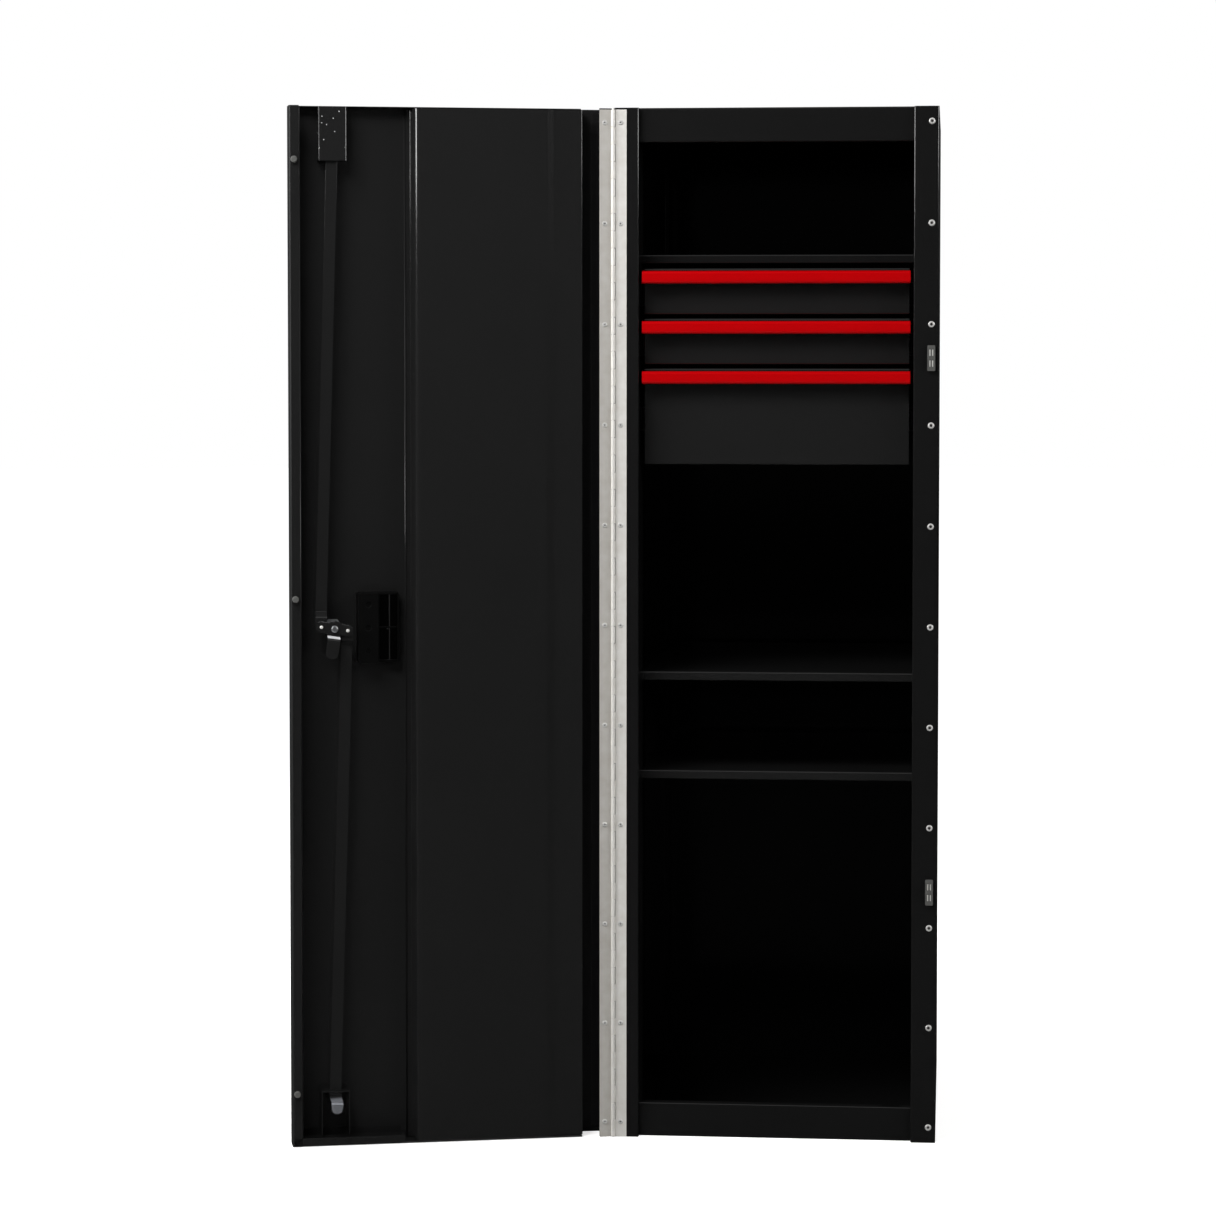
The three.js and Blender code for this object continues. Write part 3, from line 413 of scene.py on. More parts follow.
# Drawn wire headed cold: pale, slightly dull metal with forming marks.
RIVET_ALUMINIUM = Finish(
    name="headed_aluminium", colour="dedddb", drift_colour="c9c8c5", drift_mm=3,
    roughness=0.45, grain_mm=(0.5, 0.5, 0.5), grain_height_mm=0.006, metallic=0.6,
)
# A broken mandrel's end down in the rivet's hole: steel painted dark as painted shade in the hollow.
SHADED_MANDREL_STEEL = Finish(
    name="shaded_mandrel_steel", colour="1d1c1b", drift_colour="2a2724", drift_mm=1.2,
    roughness=0.5, grain_mm=(0.3, 0.3, 0.3), grain_height_mm=0.01, specular=0.3,
)
# Electroplated nickel on soft iron: bright, warm and a little hazy.
NICKEL_PLATE = Finish(
    name="nickel_plated_iron", colour="efeeea", drift_colour="dddbd5", drift_mm=4,
    roughness=0.45, roughness_spread=0.06,
    grain_mm=(0.5, 0.5, 4), grain_height_mm=0.004, metallic=0.5,
)
# The same plating made near-black, as painted shade in the drawer gaps where the slides sit.
SHADE_BLACK_ZINC = Finish(
    name="shade_black_zinc_plated_steel", colour="0d0d0d", drift_colour="121211", drift_mm=12,
    roughness=0.36, roughness_spread=0.06,
    grain_mm=(0.9, 0.9, 8), grain_height_mm=0.004, specular=0.4,
)

SLOT_FINISHES = {
    "black_powder_coat": BLACK_COAT,
    "red_powder_coat": RED_COAT,
    "stainless_hinge": STAINLESS,
    "zinc_plated_steel": ZINC_PLATE,
    "chromed_lock": CHROME,
    "black_plastic": BLACK_PLASTIC,
    "grey_rubber": GREY_RUBBER,
}
NODE_FINISHES = {
    "top_panel": SCUFFED_COAT,
    # The two lower shelves take the lighter tone as painted light; the top shelf keeps the cabinet's.
    "middle_shelf": LIT_BLACK_COAT,
    "lower_shelf": LIT_BLACK_COAT,
    "door_pan": DULLED_AND_SHADED_COAT,
    "door_inner_panel": LIT_BLACK_COAT,
    "upper_rod_guide": CHIPPED_COAT,
    "lower_rod_guide": LIT_BLACK_COAT,
    "latch_cam": HIGHLIGHTED_CAM_COAT,
    "upper_rod": LIT_BLACK_COAT,
    "lower_rod": WORN_COAT,
}
ENDING_FINISHES = {
    "_slide": SHADE_BLACK_ZINC,
    "_catch_housing": GREY_PLASTIC,
    "_catch_pole": NICKEL_PLATE,
    "_drawer_body": LIT_BLACK_COAT,
}
NODE_EDGES_MM = {"door_pan": 0.1, "upper_rod": 0.8, "lower_rod": 0.8}


def joint(name: str) -> dict[str, Any]:
    """Returns the record's joint of that name."""
    return next(j for j in frame["joints"] if j["name"] == name)


def new_piece(name: str, mesh: BMesh, body: str, finish: Finish,
              place: Matrix = Matrix()) -> Object:
    """Makes a finished bmesh a piece of the object.

    Args:
        name: The piece's name.
        mesh: The bmesh, which is freed.
        body: The body that the piece rides on.
        finish: What it is finished in.
        place: Where the bmesh goes.

    Returns:
        The new object.
    """
    bmesh.ops.transform(mesh, matrix=place, verts=mesh.verts)
    data = bpy.data.meshes.new(name)
    data.materials.append(finish.material())
    mesh.to_mesh(data)
    mesh.free()
    data.shade_smooth()
    piece = bpy.data.objects.new(name, data)
    bpy.context.scene.collection.objects.link(piece)
    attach(piece, body)
    log.info("%s rides on %s in %s", name, body, finish.name)
    return piece


def clean(mesh: BMesh) -> None:
    """Merges a bmesh's doubled vertices and points its faces outwards."""
    bmesh.ops.remove_doubles(mesh, verts=mesh.verts, dist=MERGE_MM * MM)
    bmesh.ops.recalc_face_normals(mesh, faces=mesh.faces)


def keep_flat(piece: Object) -> None:
    """Keeps a piece's large faces flat under smooth shading."""
    normals = piece.modifiers.new("normals", "WEIGHTED_NORMAL")
    normals.keep_sharp = False


def round_edges(piece: Object, width_mm: float, angle_deg: float) -> None:
    """Rounds a piece's sharp edges by modifiers.

    Args:
        piece: The piece.
        width_mm: How far its edges are rounded.
        angle_deg: How sharp an edge has to be for that.
    """
    bevel = piece.modifiers.new("edges", "BEVEL")
    bevel.limit_method = "ANGLE"
    bevel.angle_limit = math.radians(angle_deg)
    bevel.width = width_mm * MM
    bevel.segments = EDGE_SEGMENTS
    keep_flat(piece)


def folded_sheet(corners_mm: Sequence[Sequence[float]], along_mm: Sequence[float],
                 bends_mm: Sequence[float], outside: Sequence[float], sheet_mm: float) -> BMesh:
    """Folds a sheet along parallel bends.

    Args:
        corners_mm: Its section's corners on its outer side.
        along_mm: How far, and which way, the section runs.
        bends_mm: How far from each inner corner its bend starts.
        outside: Where the outer side of its largest face looks.
        sheet_mm: Its thickness.

    Returns:
        The sheet as a solid.
    """
    mesh = bmesh.new()
    along = Vector(along_mm) * MM
    verts = [mesh.verts.new(Vector(corner) * MM) for corner in corners_mm]
    edges = [mesh.edges.new(pair) for pair in zip(verts, verts[1:])]
    raised = bmesh.ops.extrude_edge_only(mesh, edges=edges)["geom"]
    far = [v for v in raised if isinstance(v, BMVert)]
    bmesh.ops.translate(mesh, verts=far, vec=along)
    for corner, bend in zip(corners_mm[1:-1], bends_mm):
        middle = Vector(corner) * MM + along / 2
        fold = [
            e for e in mesh.edges
            if ((e.verts[0].co + e.verts[1].co) / 2 - middle).length < HAIR_MM * MM
        ]
        bmesh.ops.bevel(mesh, geom=fold, offset=bend * MM, offset_type="OFFSET",
                        segments=BEND_SEGMENTS, profile=0.5, affect="EDGES", material=-1)
    clean(mesh)
    if max(mesh.faces, key=lambda face: face.calc_area()).normal.dot(Vector(outside)) < 0:
        bmesh.ops.reverse_faces(mesh, faces=mesh.faces)
    bmesh.ops.solidify(mesh, geom=mesh.faces[:], thickness=sheet_mm * MM)
    return mesh


def body_of(node: str) -> str:
    """Returns the name of the body that a node rides on."""
    groups = frame["record"]["behaviour"]["bodies"]
    return next(body for body, nodes in groups.items() if node in nodes)


def lathe(mesh: BMesh, profile_mm: Sequence[tuple[float, float]], sides: int) -> list[BMVert]:
    """Turns a profile round Z and adds it to a bmesh.

    Args:
        mesh: The bmesh, whose other vertices are tagged.
        profile_mm: Radius and height of each corner, in millimetres.
        sides: How many steps go round.

    Returns:
        The new vertices, which are tagged.
    """
    verts = [mesh.verts.new((x * MM, 0, z * MM)) for x, z in profile_mm]
    edges = [mesh.edges.new(pair) for pair in zip(verts, verts[1:])]
    bmesh.ops.spin(mesh, geom=verts + edges, cent=(0, 0, 0), axis=(0, 0, 1), angle=math.tau,
                   steps=sides, use_merge=True)
    fresh = [v for v in mesh.verts if not v.tag]
    for vert in fresh:
        vert.tag = True
    return fresh


@dataclass(frozen=True)
class SheetMetal:
    """Edges and bends of the carried-over nodes, which the frame holds as loose triangles."""

    edge_mm: float = 0.3
    edge_angle_deg: float = 40
    flat_angle_deg: float = 0.5
    merge_mm: float = 0.005

    def merged(self) -> NodeTree:
        """Makes the geometry nodes that merge loose triangles and shade them smooth.

        Returns:
            The node group, made the first time that it is asked for.
        """
        name = "merged_and_smooth"
        found = bpy.data.node_groups.get(name)
        if found:
            return found
        tree = bpy.data.node_groups.new(name, "GeometryNodeTree")
        for way in ("INPUT", "OUTPUT"):
            tree.interface.new_socket("Geometry", in_out=way, socket_type="NodeSocketGeometry")
        start = tree.nodes.new("NodeGroupInput")
        merge = tree.nodes.new("GeometryNodeMergeByDistance")
        smooth = tree.nodes.new("GeometryNodeSetShadeSmooth")
        end = tree.nodes.new("NodeGroupOutput")
        merge.inputs["Distance"].default_value = self.merge_mm * MM
        tree.links.new(start.outputs[0], merge.inputs["Geometry"])
        tree.links.new(merge.outputs[0], smooth.inputs["Geometry"])
        tree.links.new(smooth.outputs[0], end.inputs[0])
        return tree

    def soften(self, piece: Object, edge_mm: float | None = None) -> None:
        """Rounds a node's edges and smooths its bends by modifiers.

        Args:
            piece: The node's object.
            edge_mm: How far its edges are rounded, if not as on sheet metal.
        """
        merge = piece.modifiers.new("merged", "NODES")
        merge.node_group = self.merged()
        flat = piece.modifiers.new("flats", "DECIMATE")
        flat.decimate_type = "DISSOLVE"
        flat.angle_limit = math.radians(self.flat_angle_deg)
        round_edges(piece, edge_mm or self.edge_mm, self.edge_angle_deg)


def frame_of_door() -> Matrix:
    """Finds the door's own frame.

    Returns:
        Its place: X along the door from its pin, Y out of its inner side, Z up.
    """
    hinge = joint("door_hinge")
    pin = Vector((*hinge["pos_m"][:2], 0.0))
    return Matrix.Translation(pin) @ Matrix.Rotation(math.radians(hinge["range_deg"][0]), 4, "Z")


def local_box(node: str, place: Matrix) -> tuple[Vector, Vector]:
    """Measures a node along the axes of another frame.

    Args:
        node: The node's name.
        place: That frame in the world.

    Returns:
        Its lowest and highest corners there.
    """
    piece = frame["nodes"][node]
    turn = place.inverted() @ piece.matrix_world
    corners = [turn @ v.co for v in piece.data.vertices]
    return Vector(map(min, zip(*corners))), Vector(map(max, zip(*corners)))


@dataclass
class PianoHinge:
    """Two leaves of strip whose edges are rolled into knuckles round one pin."""

    strip_mm: float = 1.2
    knuckle_count: int = 60
    knuckle_gap_mm: float = 0.7
    door_notch_mm: float = 2.5
    cabinet_notch_mm: float = 3.3
    roll_deg: float = 318
    roll_steps: int = 20
    edge_mm: float = 0.18
    edge_angle_deg: float = 50
    end_gap_mm: float = 2.4

    def __post_init__(self) -> None:
        """Reads the pin's place and the leaf's size from the frame."""
        self.pin = Vector((*joint("door_hinge")["pos_m"][:2], 0.0))
        self.low, self.high = local_box("hinge_cabinet_leaf", Matrix.Translation(self.pin))

    def leaf(self, notch: float) -> BMesh:
        """Builds a leaf about the pin, lying to +X with its back to +Y.

        Args:
            notch: How far from the pin it stops beside the other leaf's knuckles.

        Returns:
            The leaf as a solid.
        """
        mesh = bmesh.new()
        radius, bottom, top = self.high.y, self.low.z, self.high.z - self.end_gap_mm * MM
        pitch = (top - bottom) / self.knuckle_count
        gap = self.knuckle_gap_mm * MM / 2
        levels = [bottom]
        for place in range(self.knuckle_count):
            levels += [bottom + place * pitch + gap, bottom + (place + 1) * pitch - gap]
        levels.append(top)
        chain = [mesh.verts.new((notch, radius, z)) for z in levels]
        edges = [mesh.edges.new(pair) for pair in zip(chain, chain[1:])]
        roots = [edges[1 + 2 * place] for place in range(0, self.knuckle_count, 2)]
        flat = bmesh.ops.extrude_edge_only(mesh, edges=edges)["geom"]
        outer = [v for v in flat if isinstance(v, BMVert)]
        bmesh.ops.translate(mesh, verts=outer, vec=(self.high.x - notch, 0, 0))
        tongues = bmesh.ops.extrude_edge_only(mesh, edges=roots)["geom"]
        tips = [v for v in tongues if isinstance(v, BMVert)]
        bmesh.ops.translate(mesh, verts=tips, vec=(-notch, 0, 0))
        sides = [e for e in tongues if isinstance(e, BMEdge)]
        rims = [e for e in sides if all(v.co.x < gap for v in e.verts)]
        bmesh.ops.spin(mesh, geom=rims, cent=(0, 0, 0), axis=(0, 0, 1),
                       angle=math.radians(self.roll_deg), steps=self.roll_steps)
        clean(mesh)
        back = next(f for f in mesh.faces if f.calc_center_median().x > notch)
        if back.normal.y < 0:
            bmesh.ops.reverse_faces(mesh, faces=mesh.faces)
        bmesh.ops.solidify(mesh, geom=mesh.faces[:], thickness=self.strip_mm * MM)
        return mesh

    def finished(self, name: str, finish: Finish, notch_mm: float, place: Matrix) -> None:
        """Puts a leaf in place of the frame's.

        Args:
            name: The node's name.
            finish: What it is finished in.
            notch_mm: Where it stops beside the other leaf's knuckles.
            place: Where the leaf goes.
        """
        mesh = self.leaf(notch_mm * MM)
        piece = new_piece(name + "_rolled", mesh, body_of(name), finish, place)
        round_edges(piece, self.edge_mm, self.edge_angle_deg)
        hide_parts(name)

    def build(self) -> None:
        """Builds both leaves, which are alike, the door's turned upside down."""
        ends = self.low.z + self.high.z - self.end_gap_mm * MM
        flip = Matrix.Translation((0, 0, ends)) @ Matrix.Rotation(math.pi, 4, "X")
        self.finished("hinge_cabinet_leaf", STAINLESS, self.cabinet_notch_mm,
                      Matrix.Translation(self.pin))
        self.finished("hinge_door_leaf", SHADED_STRIP, self.door_notch_mm, frame_of_door() @ flip)


@dataclass
class BlindRivets:
    """A row of pulled rivets: a domed collar round the end of its broken mandrel."""

    name: str
    body: str
    head_mm: float
    hole_mm: float
    height_mm: float = 1.35
    rim_mm: float = 0.35
    lip_mm: float = 0.3
    mandrel: tuple[tuple[float, float], ...] = (
        (0.0, 0.42), (0.55, 0.4), (0.7, 0.2), (0.95, 0.2), (1.0, 0.82),
    )
    dome: tuple[tuple[float, float], ...] = ((0.74, 0.94), (0.92, 0.66))
    sides: int = 28

    def add(self, mesh: BMesh, place: Matrix) -> None:
        """Adds one rivet to a bmesh.

        Args:
            mesh: The row's bmesh.
            place: Where it sits, with its axis along the place's Z.
        """
        r, h, hole = self.head_mm / 2, self.height_mm, self.hole_mm / 2
        profile = [(hole * across, h * up) for across, up in self.mandrel]
        profile.append((hole + self.lip_mm, h))
        profile += [(r * across, h * up) for across, up in self.dome]
        profile += [(r, self.rim_mm), (r, 0.0), (0.0, 0.0)]
        fresh = lathe(mesh, profile, self.sides)
        for face in {f for v in fresh for f in v.link_faces}:
            middle = face.calc_center_median()
            inside = middle.z > HAIR_MM * MM and middle.xy.length < (hole + HAIR_MM) * MM
            # Faces down in the hole take the second material, painted dark as the hole's shade.
            face.material_index = int(inside)
        bmesh.ops.transform(mesh, matrix=place, verts=fresh)

    def build(self, places: Sequence[Matrix]) -> None:
        """Builds the row as one piece of separate solids.

        Args:
            places: Where each rivet sits.
        """
        mesh = bmesh.new()
        for place in places:
            self.add(mesh, place)
        clean(mesh)
        row = new_piece(self.name, mesh, self.body, RIVET_ALUMINIUM)
        row.data.materials.append(SHADED_MANDREL_STEEL.material())


@dataclass(frozen=True)
class RivetRows:
    """The three rows of eleven rivets: right post, cabinet leaf and door leaf."""

    count: int = 11
    first_mm: float = 23.3
    pitch_mm: float = 149.45
    post_x_mm: float = 229.9
    post_head_hole_mm: tuple[float, float] = (9.6, 4.2)
    leaf_head_hole_mm: tuple[float, float] = (7.6, 1.8)
    cabinet_leaf_mm: float = 11.0
    door_leaf_mm: float = 12.3

    def heights(self) -> list[float]:
        """Returns the height of each rivet of a row."""
        return [(self.first_mm + self.pitch_mm * i) * MM for i in range(self.count)]

    def build(self) -> None:
        """Builds the three rows."""
        hinge = PianoHinge()
        front = Matrix.Rotation(math.pi / 2, 4, "X")
        inner = Matrix.Rotation(-math.pi / 2, 4, "X")
        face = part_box("right_side_panel")[0].y
        flat = hinge.high.y - hinge.strip_mm * MM
        post = [
            Matrix.Translation((self.post_x_mm * MM, face, z)) @ front for z in self.heights()
        ]
        cabinet_leaf = [
            Matrix.Translation(hinge.pin + Vector((self.cabinet_leaf_mm * MM, flat, z))) @ front
            for z in self.heights()
        ]
        door_leaf = [
            frame_of_door() @ Matrix.Translation((self.door_leaf_mm * MM, -flat, z)) @ inner
            for z in self.heights()
        ]
        leaf = self.leaf_head_hole_mm
        BlindRivets("post_rivets", "cabinet", *self.post_head_hole_mm).build(post)
        BlindRivets("cabinet_leaf_rivets", "cabinet", *leaf).build(cabinet_leaf)
        BlindRivets("door_leaf_rivets", "door", *leaf).build(door_leaf)


@dataclass(frozen=True)
class DoorHems:
    """Folded-over edges on the door: of the latch flange and of the inner panel's foot."""

    hem_mm: float = 2.4
    flange_hem_mm: float = 4.0
    flange_mm: float = 13.7
    foot_from_latch_mm: float = 173.4
    foot_depth_mm: float = 2.7
    end_gap_mm: float = 3.2
    sides: int = 20

    def strip(self, name: str, along: float, depth: float, radius: float, finish: Finish) -> None:
        """Builds one hem as a round edge along the door.

        Args:
            name: The piece's name.
            along: How far from the pin its middle is.
            depth: Its middle in the door's frame.
            radius: How round it is.
            finish: What it is finished in.
        """
        low, high = local_box("door_pan", frame_of_door())
        length = high.z - low.z - 2 * self.end_gap_mm * MM
        mesh = bmesh.new()
        bmesh.ops.create_cone(mesh, cap_ends=True, segments=self.sides, radius1=radius,
                              radius2=radius, depth=length)
        place = frame_of_door() @ Matrix.Translation((along, depth, (low.z + high.z) / 2))
        new_piece(name, mesh, "door", finish, place)

    def build(self) -> None:
        """Builds both hems."""
        low, high = local_box("door_pan", frame_of_door())
        flange, foot = self.flange_hem_mm * MM / 2, self.hem_mm * MM / 2
        flange_edge = high.x - self.flange_mm * MM
        foot_edge = high.x - self.foot_from_latch_mm * MM
        foot_level = low.y + self.foot_depth_mm * MM
        self.strip("latch_flange_hem", flange_edge, high.y - flange, flange, SATIN_COAT)
        self.strip("inner_panel_hem", foot_edge, foot_level, foot, LIT_BLACK_COAT)


@dataclass(frozen=True)
class InnerPanel:
    """The door's reinforcing panel: a hat of sheet with a wide bend beside the lock bay."""

    sheet_mm: float = 1.2
    foot_mm: float = 12
    foot_inset_mm: float = 3
    lean_mm: float = 3.5
    step_at_mm: float = 99
    step_run_mm: float = 12
    step_mm: float = 3
    wide_bend_mm: float = 6.5
    bend_mm: float = 1.6

    def build(self) -> None:
        """Folds the panel in place of the frame's."""
        door = frame_of_door()
        low, high = (corner / MM for corner in local_box("door_inner_panel", door))
        floor = low.y + self.sheet_mm
        outline = [
            (high.x - self.foot_inset_mm, floor),
            (high.x - self.foot_mm + self.sheet_mm / 2, floor),
            (high.x - self.foot_mm - self.lean_mm + self.sheet_mm / 2, high.y),
            (self.step_at_mm, high.y),
            (self.step_at_mm - self.step_run_mm, high.y - self.step_mm),
            (low.x, high.y - self.step_mm),
            (low.x, low.y),
            (low.x + self.foot_mm, low.y),
        ]
        bends = [self.bend_mm, self.wide_bend_mm] + [self.bend_mm] * (len(outline) - 4)
        corners = [(x, y, low.z) for x, y in outline]
        mesh = folded_sheet(corners, (0, 0, high.z - low.z), bends, (0, 1, 0), self.sheet_mm)
        piece = new_piece("inner_panel_folded", mesh, "door", LIT_BLACK_COAT, door)
        keep_flat(piece)
        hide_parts("door_inner_panel")


@dataclass(frozen=True)
class DoorFoot:
    """The door's bottom edge, folded forward and up, higher in the lock bay than by the panel."""

    sheet_mm: float = 1.2
    bend_mm: float = 1.4
    back_mm: float = 20.4
    bay_mm: float = 166.5
    bay_rise_mm: float = 12.5
    panel_rise_mm: float = 2.7
    panel_start_mm: float = 46
    end_gap_mm: float = 0.2

    def strip(self, name: str, first: float, last: float, rise: float) -> None:
        """Folds one stretch of the edge.

        Args:
            name: The piece's name.
            first: Where it starts, from the pin, in millimetres.
            last: Where it ends.
            rise: How high its front is.
        """
        door = frame_of_door()
        low, high = (corner / MM for corner in local_box("door_pan", door))
        section = [
            (first, low.y + self.back_mm, low.z),
            (first, high.y, low.z),
            (first, high.y, low.z + rise),
        ]
        run = (last - first, 0, 0)
        mesh = folded_sheet(section, run, [self.bend_mm], (0, 0, -1), self.sheet_mm)
        keep_flat(new_piece(name, mesh, "door", LIT_BLACK_COAT, door))

    def build(self) -> None:
        """Folds both stretches."""
        latch = local_box("door_pan", frame_of_door())[1].x / MM
        bay = latch - self.bay_mm
        end = latch - self.sheet_mm - self.end_gap_mm
        self.strip("door_foot_bay", bay, end, self.bay_rise_mm)
        self.strip("door_foot_panel", self.panel_start_mm, bay, self.panel_rise_mm)


@dataclass(frozen=True)
class PullRibs:
    """The back of the flush pull on its hinge side: a closed floor with a rib in each cell, the floor painted
    near-black as the pocket's shade.
    """

    floor_depth_mm: float = 12.15
    floor_mm: float = 0.8
    rib_mm: float = 1.8
    rib_rise_mm: float = 1.75
    rib_along_mm: float = 332
    rib_gap_mm: float = 1.5
    rib_end_mm: float = 2
    foot_mm: float = 3.2
    foot_tall_mm: float = 2
    foot_drop_mm: float = 0.3
    web_mm: float = 9
    web_half_mm: float = 0.9
    web_drop_mm: float = 0.6
    web_lap_mm: float = 1
    overlap_mm: float = 0.1
    end_gap_mm: float = 6
    edge_mm: float = 0.4
    cell_mm: tuple[float, float] = (320.0, 348.0)

    def block(self, mesh: BMesh, low: Sequence[float], high: Sequence[float]) -> None:
        """Adds a box in the door's frame.

        Args:
            mesh: The bmesh that it goes into.
            low: Its lowest corner, in millimetres.
            high: Its highest corner.
        """
        size = [b - a for a, b in zip(low, high)]
        middle = [(a + b) / 2 * MM for a, b in zip(low, high)]
        place = Matrix.Translation(middle) @ Matrix.Diagonal([s * MM for s in size] + [1.0])
        bmesh.ops.create_cube(mesh, size=1, matrix=place)

    def build(self) -> None:
        """Builds the floor and its ribs."""
        door = frame_of_door()
        skin = local_box("door_pan", door)[0].y / MM
        low, high = (corner / MM for corner in local_box("flush_pull_housing", door))
        middle = (low.z + high.z) / 2
        base = skin + self.floor_depth_mm
        top = base + self.rib_rise_mm
        first, last = low.z + self.end_gap_mm, high.z - self.end_gap_mm
        left, right = self.rib_along_mm - self.rib_mm / 2, self.rib_along_mm + self.rib_mm / 2
        root = base - self.overlap_mm
        lower = (first + self.rib_end_mm, middle - self.rib_gap_mm)
        upper = (middle + self.rib_gap_mm, last - self.rib_end_mm)
        pocket, ribs = bmesh.new(), bmesh.new()
        near, far = self.cell_mm
        self.block(pocket, (near, base - self.floor_mm, first), (far, base, last))
        for start, end in (lower, upper):
            self.block(ribs, (left, root, start), (right, top, end))
        self.block(ribs, (left - self.web_mm, root, middle - self.web_half_mm),
                   (left + self.web_lap_mm, top - self.web_drop_mm, middle + self.web_half_mm))
        for start in (lower[0], lower[1] - self.foot_tall_mm):
            self.block(ribs, (right - self.overlap_mm, root, start),
                       (right + self.foot_mm, top - self.foot_drop_mm, start + self.foot_tall_mm))
        # The ribs are painted greyer as the light on their edges.
        for name, mesh, finish in (
            ("flush_pull_pocket", pocket, SHADED_PLASTIC), ("flush_pull_ribs", ribs, HIGHLIGHTED_RIB_PLASTIC),
        ):
            piece = new_piece(name, mesh, "door", finish, door)
            SheetMetal().soften(piece, self.edge_mm)


@dataclass(frozen=True)
class LockFasteners:
    """The pan-head screw that holds the cam and the two round-headed pins that carry the rods."""

    screw_head_mm: float = 10.5
    screw_height_mm: float = 3.5
    shoulder: tuple[tuple[float, float], ...] = (
        (0.8, 0.93), (0.95, 0.68), (1.0, 0.36), (1.0, 0.0),
    )
    flat_share: float = 0.6
    recess_arm_mm: float = 2.7
    recess_depth_mm: float = 1.9
    recess_taper: float = 0.8
    screw_edge_mm: float = 0.15
    pin_head_mm: float = 5.2
    pin_height_mm: float = 1.5
    pin_tail_mm: float = 1.5
    shank_share: float = 0.64
    dome_step_deg: int = 15
    sides: int = 32

    def seat(self, node: str, height_mm: float) -> Matrix:
        """Finds where a fastener's head sits.

        Args:
            node: The frame's fastener.
            height_mm: How tall its head is.

        Returns:
            The place of its seat, with Z out of the door's inner side.
        """
        door = frame_of_door()
        low, high = local_box(node, door)
        middle = (low + high) / 2
        spot = Matrix.Translation((middle.x, high.y - height_mm * MM, middle.z))
        return door @ spot @ Matrix.Rotation(-math.pi / 2, 4, "X")

    def screw(self) -> None:
        """Builds the screw's head with its crossed recess."""
        mesh = bmesh.new()
        radius, top = self.screw_head_mm / 2 * MM, self.screw_height_mm * MM
        level = Matrix.Translation((0, 0, top))
        bmesh.ops.create_grid(mesh, x_segments=3, y_segments=3, size=self.recess_arm_mm * MM,
                              matrix=level)
        corners = [
            f for f in mesh.faces
            if min(abs(c) for c in f.calc_center_median().xy) > HAIR_MM * MM
        ]
        bmesh.ops.delete(mesh, geom=corners, context="FACES")
        cross = mesh.faces[:]
        inner = [e for e in mesh.edges if e.is_boundary]
        bmesh.ops.create_circle(mesh, segments=self.sides, radius=radius * self.flat_share,
                                matrix=level)
        ring = [e for e in mesh.edges if e.is_wire]
        bmesh.ops.bridge_loops(mesh, edges=inner + ring)
        reach, height = self.flat_share, 1.0
        for share, rise in self.shoulder:
            grown = bmesh.ops.extrude_edge_only(mesh, edges=ring)["geom"]
            ring = [e for e in grown if isinstance(e, BMEdge) and e.is_boundary]
            verts = [v for v in grown if isinstance(v, BMVert)]
            bmesh.ops.scale(mesh, vec=(share / reach, share / reach, 1), verts=verts)
            bmesh.ops.translate(mesh, vec=(0, 0, (rise - height) * top), verts=verts)
            reach, height = share, rise
        bmesh.ops.holes_fill(mesh, edges=ring)
        sunk = bmesh.ops.extrude_face_region(mesh, geom=cross)["geom"]
        floor = [v for v in sunk if isinstance(v, BMVert)]
        bmesh.ops.translate(mesh, vec=(0, 0, -self.recess_depth_mm * MM), verts=floor)
        bmesh.ops.scale(mesh, vec=(self.recess_taper, self.recess_taper, 1), verts=floor)
        bmesh.ops.delete(mesh, geom=[f for f in cross if f.is_valid], context="FACES_ONLY")
        clean(mesh)
        body, seat = body_of("cam_screw"), self.seat("cam_screw", self.screw_height_mm)
        piece = new_piece("cam_screw_head", mesh, body, ZINC_PLATE, seat)
        SheetMetal().soften(piece, self.screw_edge_mm)
        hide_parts("cam_screw")

    def pin(self, node: str) -> None:
        """Builds one rod pin's head over its shank.

        Args:
            node: The frame's pin.
        """
        low, high = local_box(node, frame_of_door())
        r, h = self.pin_head_mm / 2, self.pin_height_mm
        shank = r * self.shank_share
        end = h - (high.y - low.y) / MM
        collar = end + self.pin_tail_mm
        arc = [math.radians(a) for a in range(0, 91, self.dome_step_deg)]
        profile = [(r * math.sin(a), h * math.cos(a)) for a in arc]
        profile += [(shank, 0.0), (shank, collar), (r, collar), (r, end), (0, end)]
        mesh = bmesh.new()
        lathe(mesh, profile, self.sides)
        clean(mesh)
        body, seat = body_of(node), self.seat(node, h)
        piece = new_piece(node + "_headed", mesh, body, NICKEL_PLATE, seat)
        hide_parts(node)

    def build(self) -> None:
        """Builds the screw and both pins."""
        self.screw()
        self.pin("upper_rod_pin")
        self.pin("lower_rod_pin")


